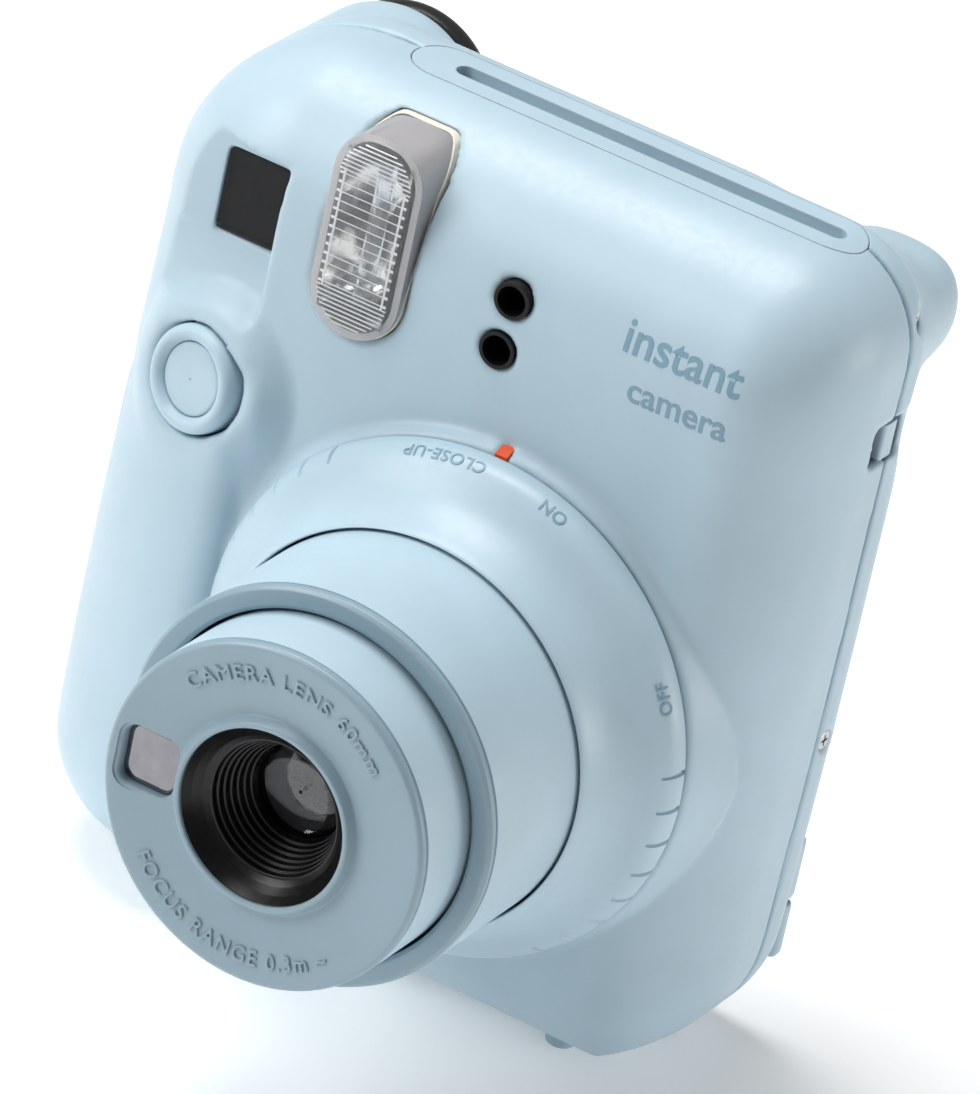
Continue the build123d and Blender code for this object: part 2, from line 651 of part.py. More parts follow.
def door():
    """Film door: shallow lid with window opening and hinge knuckles."""
    lid = box(DOOR_X[0], DOOR_X[1], DOOR_Y[0], DOOR_Y[1], DOOR_Z[0], DOOR_Z[1])
    lid = fillet(lid.edges().filter_by(Axis.Y), 5.0)
    lid = fillet(lid.edges().group_by(Axis.Y)[-1], 1.6)
    lid = lid - box(CHAMBER_X[0], CHAMBER_X[1] - 0.2, DOOR_Y[0] - 1, DOOR_Y[1] - 2.0, *CHAMBER_Z)
    lid = lid - rounded_y(*WINDOW_X, *WINDOW_Z, 2.0, DOOR_Y[0] - 1, DOOR_Y[1] + 1)
    for z0, z1 in DOOR_KNUCKLES:
        arm = box(DOOR_X[1] - 1.5, HINGE_X, HINGE_Y - 1.4, HINGE_Y + 1.5, z0, z1)
        lid = lid + arm + cyl_z(HINGE_X, HINGE_Y, 1.9, z0, z1)
    lid = lid - cyl_z(HINGE_X, HINGE_Y, 0.8, 5, 100)
    for x in (-12.0, 34.0):
        lid = lid + box(x - 6, x + 6, DOOR_Y[1] - 2.6, DOOR_Y[1] - 1.9, 26, 28) + box(
            x - 6, x + 6, DOOR_Y[1] - 2.6, DOOR_Y[1] - 1.9, 76, 78)
    return lid


WINDOW_X = (4.0, 18.0)
WINDOW_Z = (44.0, 60.0)


def door_window():
    """Clear window that shows whether film is loaded."""
    return rounded_y(WINDOW_X[0] + 0.1, WINDOW_X[1] - 0.1, WINDOW_Z[0] + 0.1, WINDOW_Z[1] - 0.1, 1.9,
                     DOOR_Y[1] - 1.9, DOOR_Y[1] - 0.4)


def pressure_spring(x):
    """Leaf spring on the inside of the film door."""
    pad = box(x - 5.0, x + 5.0, DOOR_Y[1] - 4.4, DOOR_Y[1] - 4.1, 45, 59)
    leg_low = box(x - 5.0, x + 5.0, DOOR_Y[1] - 4.4, DOOR_Y[1] - 2.0, 42.0, 42.4)
    web = box(x - 5.0, x + 5.0, DOOR_Y[1] - 4.4, DOOR_Y[1] - 4.1, 42.0, 46)
    foot_part = box(x - 5.0, x + 5.0, DOOR_Y[1] - 2.3, DOOR_Y[1] - 2.0, 36.0, 42.4)
    return pad + leg_low + web + foot_part


def hinge_pins():
    """Steel pins of the film door and of the battery door."""
    film = cyl_z(HINGE_X, HINGE_Y, 0.75, 12.5, 89.5)
    battery = cyl_z(*BAT_HINGE, 0.5, BAT_Z[0] - 1.8, BAT_Z[1] + 1.8)
    return Compound(children=[film, battery])


def latch():
    """Sliding catch button beside the film door."""
    knob = rounded_y(*LATCH_X, *LATCH_Z, 1.2, BACK - 2.4, BACK + 1.4)
    for k in range(4):
        z = LATCH_Z[0] + 2.6 + 1.6 * k
        knob = knob - box(LATCH_X[0] - 1, LATCH_X[1] + 1, BACK + 0.9, BACK + 3, z - 0.3, z + 0.3)
    plate = box(LATCH_X[0] - 1.6, LATCH_X[1] + 1.6, BACK - 3.4, BACK - 2.4,
                LATCH_Z[0] - 2.0, LATCH_Z[1] + 3.0)
    return knob + plate


# ---- film drive ------------------------------------------------------------------
DRIVE_Y = FILM_Y - GEAR_M * GEAR_TEETH / 2
PINCH_Y = FILM_Y + GEAR_M * GEAR_TEETH / 2
IDLER_Y = DRIVE_Y - GEAR_M * GEAR_TEETH
PINION_Z = ROLLER_Z - GEAR_M * (GEAR_TEETH + PINION_TEETH) / 2
ROLLER_R = 3.85
SHAFT_R = 1.2
ROLLER_X = (-16.4, 40.0)


def gear(teeth, y, z, bore, phase):
    """Spur gear on an X axis; phase turns the teeth by that many tooth pitches."""
    pitch_r = GEAR_M * teeth / 2
    root = pitch_r - 1.2 * GEAR_M
    tip = pitch_r + 0.8 * GEAR_M
    step = 2 * pi / teeth
    pts = []
    for k in range(teeth):
        mid = (k + phase) * step
        for r, half in ((root, 0.36), (tip, 0.14)):
            pts.append((r, mid - half * step))
        for r, half in ((tip, 0.14), (root, 0.36)):
            pts.append((r, mid + half * step))
    face = make_face(Polyline(*[(r * cos(a), r * sin(a)) for r, a in pts], close=True))
    solid = extrude(face, GEAR_X[1] - GEAR_X[0]) - Cylinder(bore, 20)
    return Pos(GEAR_X[0], y, z) * Rot(0, 90, 0) * solid


def roller(y, phase):
    """Film roller on its shaft with the gear pressed on its end."""
    shaft = cyl_x(y, ROLLER_Z, SHAFT_R, -18.4, GEAR_X[1] + 0.3)
    body = cyl_x(y, ROLLER_Z, ROLLER_R, *ROLLER_X)
    for x in (-10.0, 32.0):
        core = cyl_x(y, ROLLER_Z, ROLLER_R - 0.4, x - 1, x + 2)
        body = body - (cyl_x(y, ROLLER_Z, ROLLER_R + 1, x, x + 1.0) - core)
    wheel = gear(GEAR_TEETH, y, ROLLER_Z, SHAFT_R, phase)
    return Compound(children=[(shaft + body).solid(), wheel.solid()])


def roller_frame():
    """Side plates and cross bars that carry rollers, idler and motor."""
    left = box(-18.0, -16.8, 13.6, 31.0, 98.4, 112.0)
    right = box(40.4, 41.6, 6.6, 31.0, 95.6, 111.6)
    right = right - box(39, 43, 19.0, 32, 90, 97.9)
    bars = box(-18.0, 41.6, 29.9, 31.0, 98.4, 101.0) + box(-18.0, 41.6, 17.6, 19.4, 98.4, 99.4)
    frame = left + right + bars
    for y in (DRIVE_Y, PINCH_Y):
        frame = frame - cyl_x(y, ROLLER_Z, SHAFT_R + 0.05, -20, 42)
    frame = frame - cyl_x(IDLER_Y, PINION_Z, 2.0, 39, 42)
    return frame + cyl_x(IDLER_Y, ROLLER_Z, 0.9, 41.6, GEAR_X[1] + 0.2)


def motor():
    """Small motor that drives the rollers."""
    can = cyl_x(IDLER_Y, PINION_Z, 5.0, 22.6, 39.6)
    can = can & box(20, 45, IDLER_Y - 5, IDLER_Y + 5, PINION_Z - 4.4, PINION_Z + 4.4)
    nose = cyl_x(IDLER_Y, PINION_Z, 1.95, 39.6, 40.6)
    tail = cyl_x(IDLER_Y, PINION_Z, 1.6, 21.8, 22.6)
    return can + nose + tail - cyl_x(IDLER_Y, PINION_Z, 0.8, 36.0, 42.0)


def motor_pinion():
    """Brass pinion with the motor shaft."""
    shaft = cyl_x(IDLER_Y, PINION_Z, 0.75, 36.4, GEAR_X[1] + 0.3)
    return gear(PINION_TEETH, IDLER_Y, PINION_Z, 0.74, 0.0) + shaft


# ---- viewfinder --------------------------------------------------------------------
VFH_X = (-40.0, -27.4)
VFH_Z = (94.4, 108.2)


def viewfinder_window():
    """Smoked window in front of the viewfinder."""
    return box(VF_X[0] - 0.1, VF_X[1] - 1.3, VF_Y + 0.35, VF_Y + 1.5, VF_Z[0] + 0.3, VF_Z[1] + 0.3)


def viewfinder_tunnel():
    """Black rectangular tunnel behind the window."""
    tunnel = box(*VFH_X, VF_Y + 2.4, 31.4, *VFH_Z)
    tunnel = tunnel - box(VFH_X[0] + 1.2, VFH_X[1] - 1.2, 0, 40, VFH_Z[0] + 1.2, VFH_Z[1] - 1.2)
    eye = ring_y(9.7, 7.2, 31.4, 44.4, EYE_X, EYE_Z)
    return tunnel + eye


def viewfinder_lens(y, thick):
    """Rectangular finder lens with rounded faces."""
    slab = box(VFH_X[0] + 1.25, VFH_X[1] - 1.25, y, y + thick, VFH_Z[0] + 1.25, VFH_Z[1] - 1.25)
    mid = (sum(VFH_X) / 2, sum(VFH_Z) / 2)
    return slab & (Pos(mid[0], y + 40.0, mid[1]) * Sphere(40.0))


def parallax_frame():
    """Small masking frame that shifts sideways for close-up framing."""
    y = 9.2
    frame = box(-38.7, -30.5, y, y + 0.8, VFH_Z[0] + 1.7, VFH_Z[1] - 1.7)
    return frame - box(-37.6, -31.6, y - 1, y + 2, VFH_Z[0] + 2.9, VFH_Z[1] - 2.9)


def eye_lens():
    """Round rear lens of the viewfinder."""
    return lens_disc(EYE_X, EYE_Z, 7.1, 42.2, 43.6)


def lens_disc(x, z, r, y0, y1):
    """Round glass disc with slightly rounded faces."""
    front = [(0, y0 - 0.4), (r * 0.6, y0 - 0.25), (r, y0)]
    return turned([*front, (r, y1), (r * 0.6, y1 + 0.25), (0, y1 + 0.4)], x, z)


def eyepiece_ring():
    """Soft black ring around the eyepiece."""
    return turned([(7.4, 44.75), (12.8, 44.75), (12.95, 46.4), (12.5, 48.2), (11.5, 49.3), (10.4, EYE_BACK),
                   (9.6, 49.5), (8.6, 48.4), (7.4, 46.4)], EYE_X, EYE_Z)


# ---- flash ---------------------------------------------------------------------------
def flash_roof(grow):
    """Space under the top of the flash, which falls a little towards the back."""
    front = FL_Z[1] + grow
    low = FL_Z[0] - 5
    y0, y1 = FL_FRONT - 4, FL_BACK + 3
    pts = [(y0, low), (y0, front), (FL_FRONT + 1, front), (y1, front - FL_DROP * (y1 - FL_FRONT)), (y1, low)]
    side = make_face(Polyline(*[(FL_X - 15, y, z) for y, z in pts], close=True))
    return extrude(side, amount=30, dir=(1, 0, 0))


def flash_form(grow, y0, y1):
    """Upright rounded prism of the flash, grown all round, under its falling top."""
    prism = stadium_y(FL_X, FL_Z[0] - grow, FL_Z[1] + grow, FL_R + grow, y0, y1)
    return prism & flash_roof(grow)


def flash_window():
    """Clear raised flash cover."""
    cap = stadium_y(FL_X, FL_Z[0], FL_Z[1], FL_R, FL_FRONT, FL_BACK)
    cap = fillet(cap.edges().group_by(Axis.Y)[0], 1.6) & flash_roof(0.0)
    cap = cap - flash_form(-1.1, FL_FRONT + 1.3, FL_BACK + 1)
    for k in range(16):
        z = FL_Z[0] + 5.0 + k * 1.26
        cap = cap - box(FL_X - 4.3, FL_X + 4.3, FL_FRONT + 1.05, FL_FRONT + 1.6, z - 0.12, z + 0.12)
    return cap


def flash_gasket(outer):
    """Cream seal between flash window and cover, flush with the outside."""
    ring = flash_form(FL_GAP, -4, FL_BACK + 0.1) - flash_form(0.02, -5, FL_BACK + 1)
    return ring & outer


def flash_reflector():
    """Chromed trough behind the flash tube."""
    trough = box(FL_X - 4.8, FL_X + 4.8, -1.9, 4.4, 96.8, 116.2)
    trough = trough - Pos(FL_X, -1.9, 106.5) * scale(Cylinder(4.4, 17.6), (1.0, 1.2, 1.0))
    return trough - cyl_z(FL_X, 0.9, 1.35, 96, 117)


def flash_tube():
    """Glass discharge tube with a lead pin at each end."""
    glass = cyl_z(FL_X, 0.9, 1.25, 96.2, 116.8)
    low = cyl_z(FL_X, 0.9, 0.45, 94.6, 96.2) + box(FL_X - 0.4, FL_X + 0.4, 0.9, 9.6, 94.2, 95.0)
    high = cyl_z(FL_X, 0.9, 0.45, 116.8, 117.8) + box(FL_X - 0.4, FL_X + 0.4, 0.9, 9.6, 117.2, 118.0)
    return Compound(children=[glass, low.solid(), high.solid()])


# ---- release button --------------------------------------------------------------------
def button_ring():
    """Raised ring and skirt of the release button."""
    pts = [(0, -4.0), (BTN_R, -4.0), (BTN_R, -0.4), (BTN_R - 0.15, 0.4), (BTN_R - 0.6, 0.95),
           (BTN_R - 1.15, 1.15), (BTN_R - 1.7, 0.95), (BTN_R - 2.15, 0.35), (BTN_R - 2.3, -0.4), (0, -0.4)]
    face = make_face(Polyline(*[(r, 0, h) for r, h in pts], close=True))
    return button_plane() * revolve(face, Axis.Z, 360)


def button_disc():
    """Inset touch disc of the release button."""
    disc = button_plane() * (Pos(0, 0, -0.05) * Cylinder(BTN_R - 2.42, 0.7))
    return fillet(disc.edges(), 0.25)


def button_switch():
    """Tact switch that the button presses."""
    base = button_plane(-6.5) * Box(5.4, 5.4, 1.0)
    dome = button_cylinder(1.6, -6.0, -5.5)
    return base + dome


# ---- electrics ----------------------------------------------------------------------------
def sensor_tube(x, z):
    """Black tube in front of one light sensor."""
    return ring_y(AE_R - 0.05, AE_R - 0.55, FRONT - 0.25, 9.4, x, z)


def sensor_lens(x, z):
    """Small glass lens in a sensor tube."""
    return lens_disc(x, z, AE_R - 0.6, 4.4, 5.4)


def sensor_board():
    """Small circuit board behind the sensor tubes with its two light sensors."""
    board = box(-2.0, 15.0, 9.6, 10.8, 93.0, 111.0)
    for x, z in AE_HOLES:
        board = board + box(x - 1.3, x + 1.3, 8.8, 9.8, z - 1.3, z + 1.3)
    return board


def main_board():
    """Main circuit board above the light box with its chips, coil and small capacitors."""
    board = box(-15.0, 20.5, 14.8, 16.2, 86.6, 96.6)
    board = board + box(-12, -4, 13.3, 15, 88.5, 94.5) + box(-1, 4, 13.6, 15, 88.5, 93.0)
    board = board + box(7, 11, 12.2, 15, 88, 92)
    return board + cyl_y(15.5, 91.0, 2.4, 11.4, 15) + cyl_y(1.5, 95.0, 0.9, 13.2, 15)


def capacitor():
    """Flash capacitor lying in the foot of the body."""
    can = cyl_x(13.6, 11.0, 6.0, -12.0, 24.0)
    can = fillet(can.edges(), 0.8)
    return can - (cyl_x(13.6, 11.0, 7, 20.6, 21.4) - cyl_x(13.6, 11.0, 5.6, 20, 22))


def cell(x, y, up):
    """One AA cell standing up or upside down."""
    body = cyl_z(x, y, CELL_R, CELL_Z0, CELL_Z0 + CELL_LEN - 1.0)
    body = fillet(body.edges(), 0.5) + cyl_z(x, y, 2.7, CELL_Z0 + CELL_LEN - 1.2, CELL_Z0 + CELL_LEN)
    if not up:
        mid = CELL_Z0 + CELL_LEN / 2
        body = Pos(x, y, mid) * Rot(180, 0, 0) * Pos(-x, -y, -mid) * body
    return body.solid()


def cells():
    """The two AA cells."""
    return Compound(children=[cell(*CELLS[0], True), cell(*CELLS[1], False)])


def cell_cradle():
    """Black cradle that holds the cells, open to the side door."""
    cradle = None
    z0, z1 = CELL_Z0 - 1.8, CELL_Z0 + CELL_LEN + 1.6
    for x, y in CELLS:
        ring = cyl_z(x, y, CELL_R + 0.7, z0, z1) & box(x - 2.5, x + 10, y - 9, min(y + 9, 28.6), 0, 100)
        cradle = ring if cradle is None else cradle + ring
    for x, y in CELLS:
        cradle = cradle - cyl_z(x, y, CELL_R + 0.15, CELL_Z0 - 0.9, CELL_Z0 + CELL_LEN + 0.8)
    return cradle


def contacts():
    """Spring steel contacts at both ends of the cells."""
    low = [cyl_z(x, y, 4.0, CELL_Z0 - 0.75, CELL_Z0 - 0.1).solid() for x, y in CELLS]
    top = [cyl_z(x, y, 4.0, CELL_Z0 + CELL_LEN + 0.1, CELL_Z0 + CELL_LEN + 0.7).solid() for x, y in CELLS]
    return Compound(children=low + top)


# ---- small parts ---------------------------------------------------------------------------
def index_mark():
    """Orange index on the skirt, trimmed flush with it."""
    return index_wedge(34.95, 36.6, RING_BACK + 0.3, -0.72) & lens_skirt()


def strap_bar():
    """Bar across the strap pocket."""
    bar = box(RIGHT - 2.4, RIGHT - 0.3, SEAM - 1.9, SEAM + 1.5, STRAP_Z - 2.6, STRAP_Z + 2.6)
    return fillet(bar.edges().filter_by(Axis.Z), 0.5)


def feet():
    """Four small round feet."""
    pads = []
    for x, y in FEET_FRONT:
        pads.append(fillet_low(cyl_z(x, y, FOOT_R - 0.05, 0, 3.0)))
    for x, y in FEET_REAR:
        pads.append(fillet_low(cyl_z(x, y, FOOT_R - 0.05, 0, 1.8)))
    return Compound(children=[p.solid() for p in pads])


def fillet_low(solid):
    """Round the lower rim of a foot."""
    return fillet(solid.edges().group_by(Axis.Z)[0], 0.5)


def case_screw(x, y, z, along_x):
    """Pan head screw with a cross recess; its head looks along +X or -Z."""
    head = Pos(0, 0, -0.7) * Cylinder(1.45, 0.8)
    head = fillet(head.edges().group_by(Axis.Z)[-1], 0.3)
    screw = head + Pos(0, 0, -3.0) * Cylinder(0.8, 4.0)
    screw = screw - Pos(0, 0, -0.3) * Box(0.35, 1.7, 0.9) - Pos(0, 0, -0.3) * Box(1.7, 0.35, 0.9)
    turn = Rot(0, 90, 0) if along_x else Rot(180, 0, 0)
    return (Pos(x, y, z) * turn * screw).solid()


def case_screws():
    """Screws that hold the two covers together."""
    side = [case_screw(x, y, z, True) for x, y, z in SCREWS_SIDE]
    base = [case_screw(x, y, BASE, False) for x, y in SCREWS_BASE]
    return Compound(children=side + base)


def counter_dial():
    """Film counter disc with a notched rim."""
    x, z = COUNTER_POS
    dial = cyl_y(x, z, COUNTER_R, 29.2, 30.0)
    for k in range(20):
        notch = Pos(x, 29.6, z) * Rot(0, 18 * k, 0) * Pos(0, 0, COUNTER_R + 0.1) * Box(0.5, 2, 0.8)
        dial = dial - notch
    return dial - cyl_y(x, z, 0.85, 28, 31)


def counter_post():
    """Post and arm of the film chamber that carry the counter disc."""
    x, z = COUNTER_POS
    post = cyl_y(x, z, 0.8, 27.4, 30.6)
    return post + box(x - 1.5, CHAMBER_X[0] - 1.0, 26.6, 27.4, z - 1.5, z + 1.5)


def counter_window():
    """Small clear window over the counter."""
    return lens_disc(*COUNTER_POS, 2.85, BACK - 1.9, BACK - 0.5)


def pieces():
    """Every named piece of the camera."""
    outer = outer_form()
    inner = inner_form()
    return {
        "front_cover": front_cover(outer, inner),
        "rear_cover": rear_cover(outer, inner),
        "battery_door": battery_door(outer, inner),
        "film_exit_plate": exit_plate(outer),
        "film_exit_flap": exit_flap(),
        "index_mark": index_mark(),
        "mode_ring": mode_ring(),
        "cam_tube": cam_tube(),
        "guide_tube": guide_tube(),
        "outer_barrel": outer_barrel(),
        "outer_barrel_cap": outer_cap(),
        "inner_barrel": inner_barrel(),
        "lens_face": lens_face(),
        "selfie_mirror": selfie_mirror(),
        "lens_funnel": lens_funnel(),
        "front_glass": lens_element(LENS_Y + 0.2, 6.6, 1.0, 1.4, 0.2),
        "lens_cell": lens_cell(),
        "rear_glass": lens_element(-33.7, 8.5, 1.2, 0.3, 0.5),
        "shutter_blade_right": shutter_blade(1),
        "shutter_blade_left": shutter_blade(-1),
        "shutter_base": shutter_base(),
        "light_box": light_box(),
        "film_chamber": film_chamber(),
        "film_door": door(),
        "film_door_window": door_window(),
        "hinge_pins": hinge_pins(),
        "pressure_springs": Compound(children=[pressure_spring(x).solid() for x in (-10.0, 32.0)]),
        "door_latch": latch(),
        "roller_frame": roller_frame(),
        "drive_roller": roller(DRIVE_Y, 0.0),
        "pinch_roller": roller(PINCH_Y, 0.5),
        "idler_gear": gear(GEAR_TEETH, IDLER_Y, ROLLER_Z, 0.95, 0.5),
        "drive_motor": motor(),
        "motor_pinion": motor_pinion(),
        "viewfinder_window": viewfinder_window(),
        "viewfinder_tunnel": viewfinder_tunnel(),
        "viewfinder_front_lens": viewfinder_lens(14.0, 2.2),
        "parallax_frame": parallax_frame(),
        "eyepiece_lens": eye_lens(),
        "eyepiece_ring": eyepiece_ring(),
        "flash_window": flash_window(),
        "flash_gasket": flash_gasket(outer),
        "flash_reflector": flash_reflector(),
        "flash_tube": flash_tube(),
        "flash_capacitor": capacitor(),
        "shutter_button": button_ring(),
        "shutter_button_disc": button_disc(),
        "button_switch": button_switch(),
        "sensor_tubes": Compound(children=[sensor_tube(x, z).solid() for x, z in AE_HOLES]),
        "sensor_lenses": Compound(children=[sensor_lens(x, z).solid() for x, z in AE_HOLES]),
        "sensor_board": sensor_board(),
        "main_board": main_board(),
        "aa_cells": cells(),
        "cell_cradle": cell_cradle(),
        "cell_contacts": contacts(),
        "strap_bar": strap_bar(),
        "feet": feet(),
        "case_screws": case_screws(),
        "counter_dial": counter_dial(),
        "counter_window": counter_window(),
    }


def main():
    """Build every piece and write its STEP file."""
    os.makedirs("parts", exist_ok=True)
    for name, shape in pieces().items():
        save(name, shape)


main()
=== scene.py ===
"""Looks of a small instant camera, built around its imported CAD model."""
import json
import math

import bmesh
import bpy
import numpy as np
from mathutils import Matrix, Vector
from mathutils.bvhtree import BVHTree


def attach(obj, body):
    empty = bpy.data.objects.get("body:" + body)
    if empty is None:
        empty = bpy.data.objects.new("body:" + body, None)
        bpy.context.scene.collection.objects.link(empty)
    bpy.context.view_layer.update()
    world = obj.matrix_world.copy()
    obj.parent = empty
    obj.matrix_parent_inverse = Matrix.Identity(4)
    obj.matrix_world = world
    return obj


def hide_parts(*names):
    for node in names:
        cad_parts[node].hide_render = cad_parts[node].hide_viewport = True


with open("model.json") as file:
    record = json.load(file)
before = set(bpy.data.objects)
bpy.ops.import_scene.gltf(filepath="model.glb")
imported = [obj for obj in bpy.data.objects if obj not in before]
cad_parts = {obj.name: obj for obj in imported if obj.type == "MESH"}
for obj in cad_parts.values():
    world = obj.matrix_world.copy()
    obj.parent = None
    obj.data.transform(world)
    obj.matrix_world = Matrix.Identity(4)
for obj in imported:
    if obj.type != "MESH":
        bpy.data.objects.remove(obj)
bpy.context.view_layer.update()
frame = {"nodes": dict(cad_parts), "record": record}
NODES = frame["nodes"]
MM = 0.001

# ---- sizes, millimetres, the same frame as the CAD ------------------------------------
# body: ends, edge radii seen from the front and from the side, and where the front starts to round off
TOP, BASE = 122.0, 0.8
LEFT, RIGHT = -52.0, 52.0
FRONT, BACK = -0.7, 34.4
R_TOP_LEFT, R_TOP_RIGHT = 24.0, 14.0
R_BOT_LEFT, R_BOT_RIGHT = 17.0, 20.0
R_FRONT_TOP, R_FRONT_BOT, R_BACK = 19.0, 18.0, 8.0
FRONT_CY, FRONT_CXL, FRONT_CXR = 18.3, -30.0, 37.5
RIGHT_LEAN = 1.8     # how far the right side draws in at the bottom
# hand grip: (height, Y of its front), then its right end, its crest, its depth and its top
GRIP_KNOTS = ((0.0, -4.6), (16.0, -5.5), (32.0, -5.8), (53.0, -5.1), (74.0, -2.5), (88.0, -0.2), (96.0, 1.6))
GRIP_RIGHT, GRIP_PEAK, GRIP_CY, GRIP_TOP = -24.6, -30.0, 16.3, 95.0
# lens: axis, face plate, barrels, mode ring
LX, LZ = 11.0, 50.5
FACE_Y, LIP_Y = -49.4, -49.75
DISH, DISH_R = 1.05, (13.5, 22.5)    # depth of the dished face, and the radii between which it falls
INNER_R, OUTER_R, OUTER_Y = 23.5, 27.1, -38.4
INNER_BACK, OUTER_BACK = -27.0, -10.5
CONE_R, CONE_Y, RING_BACK = 27.4, -16.8, -3.1
SHOULDER = ((31.0, -9.9), (32.5, -8.5), (33.8, -7.5), (34.8, -6.5), (35.4, -5.3), (35.6, -4.1))
MIRROR_X, MIRROR_HALF = (-21.4, -13.4), 4.2
# flash, release button, eyepiece, viewfinder hollow
FL_X, FL_Z, FL_R, FL_FRONT, FL_BACK = -14.8, (92.0, 121.0), 6.6, -3.7, 12.4
FL_DROP = 0.11       # fall of the top of the flash for each millimetre back
BTN_SINK = 1.2       # how much deeper than the CAD button its face lies
BOSS_TOP, BOSS_R = -1.3, (8.6, 14.5)    # level of the low boss round the button, and where it fades out
BTN_POS, BTN_DIR, BTN_R = (-35.3, -3.3, 77.4), (-0.262, -0.958, 0.115), 7.35
EYE_X, EYE_Z = -37.0, 103.0
SCOOP_X, SCOOP_Z = (-53.0, -26.4), (83.5, 111.6)
# film exit plate, corner bump
PLATE_X, PLATE_HALF, FILM_Y = (-25.0, 43.0), 4.9, 22.3
BUMP_ROUNDS = 160    # smoothing rounds of the corner bump at the rear right

# fineness of the meshes, and the reach of the outer form
VOXEL = 0.5
LETTER_VOXEL = 0.08
SEGS = 256
NEAR = 2.6           # points closer than this to both outer forms lie in the crease between them
SNAP = 0.55          # points closer than this to an outer form are put onto it


# ---- node materials --------------------------------------------------------------------
def new_material(name):
    """Empty node material with its shader."""
    mat = bpy.data.materials.new(name)
    mat.use_nodes = True
    return mat, mat.node_tree.nodes, mat.node_tree.links, mat.node_tree.nodes["Principled BSDF"]


def noise_node(nodes, links, scale, detail=3.0, rough=0.55):
    """Noise in object space, so it stays put on the piece."""
    coord = nodes.new("ShaderNodeTexCoord")
    noise = nodes.new("ShaderNodeTexNoise")
    noise.inputs["Scale"].default_value = scale
    noise.inputs["Detail"].default_value = detail
    noise.inputs["Roughness"].default_value = rough
    links.new(coord.outputs["Object"], noise.inputs["Vector"])
    return noise


def ramp_node(nodes, links, source, low, high, start=0.3, end=0.7):
    """Colour ramp from low to high driven by source."""
    ramp = nodes.new("ShaderNodeValToRGB")
    ramp.color_ramp.elements[0].position = start
    ramp.color_ramp.elements[1].position = end
    ramp.color_ramp.elements[0].color = (*low, 1)
    ramp.color_ramp.elements[1].color = (*high, 1)
    links.new(source, ramp.inputs["Fac"])
    return ramp


def range_node(nodes, links, source, low, high):
    """Map 0.3..0.7 of source to low..high."""
    node = nodes.new("ShaderNodeMapRange")
    node.inputs["From Min"].default_value = 0.3
    node.inputs["From Max"].default_value = 0.7
    node.inputs["To Min"].default_value = low
    node.inputs["To Max"].default_value = high
    links.new(source, node.inputs["Value"])
    return node


def moulded(name, color, rough=0.45, grain=0.12, grain_scale=5200.0, spread=0.04, bevel=0.0, spec=0.5):
    """Moulded plastic: fine spark-eroded grain, faint cloudiness in colour and gloss."""
    mat, nodes, links, shader = new_material(name)
    cloud = noise_node(nodes, links, 55.0)
    low = tuple(c * (1 - spread) for c in color)
    high = tuple(min(1.0, c * (1 + spread)) for c in color)
    ramp = ramp_node(nodes, links, cloud.outputs["Fac"], low, high)
    links.new(ramp.outputs["Color"], shader.inputs["Base Color"])
    gloss = noise_node(nodes, links, 900.0)
    rough_map = range_node(nodes, links, gloss.outputs["Fac"], rough - 0.05, rough + 0.05)
    links.new(rough_map.outputs["Result"], shader.inputs["Roughness"])
    fine = noise_node(nodes, links, grain_scale, 2.0)
    bump = nodes.new("ShaderNodeBump")
    bump.inputs["Strength"].default_value = grain
    bump.inputs["Distance"].default_value = 0.00005
    links.new(fine.outputs["Fac"], bump.inputs["Height"])
    if bevel:
        edge = nodes.new("ShaderNodeBevel")
        edge.samples = 4
        edge.inputs["Radius"].default_value = bevel * MM
        links.new(edge.outputs["Normal"], bump.inputs["Normal"])
    links.new(bump.outputs["Normal"], shader.inputs["Normal"])
    shader.inputs["Specular IOR Level"].default_value = spec
    return mat


def metal(name, color, rough, stretch=(1.0, 1.0, 40.0), depth=0.15):
    """Metal with fine drawn lines."""
    mat, nodes, links, shader = new_material(name)
    shader.inputs["Metallic"].default_value = 1.0
    coord = nodes.new("ShaderNodeTexCoord")
    mapping = nodes.new("ShaderNodeMapping")
    mapping.inputs["Scale"].default_value = stretch
    noise = nodes.new("ShaderNodeTexNoise")
    noise.inputs["Scale"].default_value = 400.0
    noise.inputs["Detail"].default_value = 4.0
    links.new(coord.outputs["Object"], mapping.inputs["Vector"])
    links.new(mapping.outputs["Vector"], noise.inputs["Vector"])
    ramp = ramp_node(nodes, links, noise.outputs["Fac"], tuple(c * 0.85 for c in color), color)
    links.new(ramp.outputs["Color"], shader.inputs["Base Color"])
    rough_map = range_node(nodes, links, noise.outputs["Fac"], rough * 0.7, rough * 1.3)
    links.new(rough_map.outputs["Result"], shader.inputs["Roughness"])
    bump = nodes.new("ShaderNodeBump")
    bump.inputs["Strength"].default_value = depth
    bump.inputs["Distance"].default_value = 0.00004
    links.new(noise.outputs["Fac"], bump.inputs["Height"])
    links.new(bump.outputs["Normal"], shader.inputs["Normal"])
    return mat


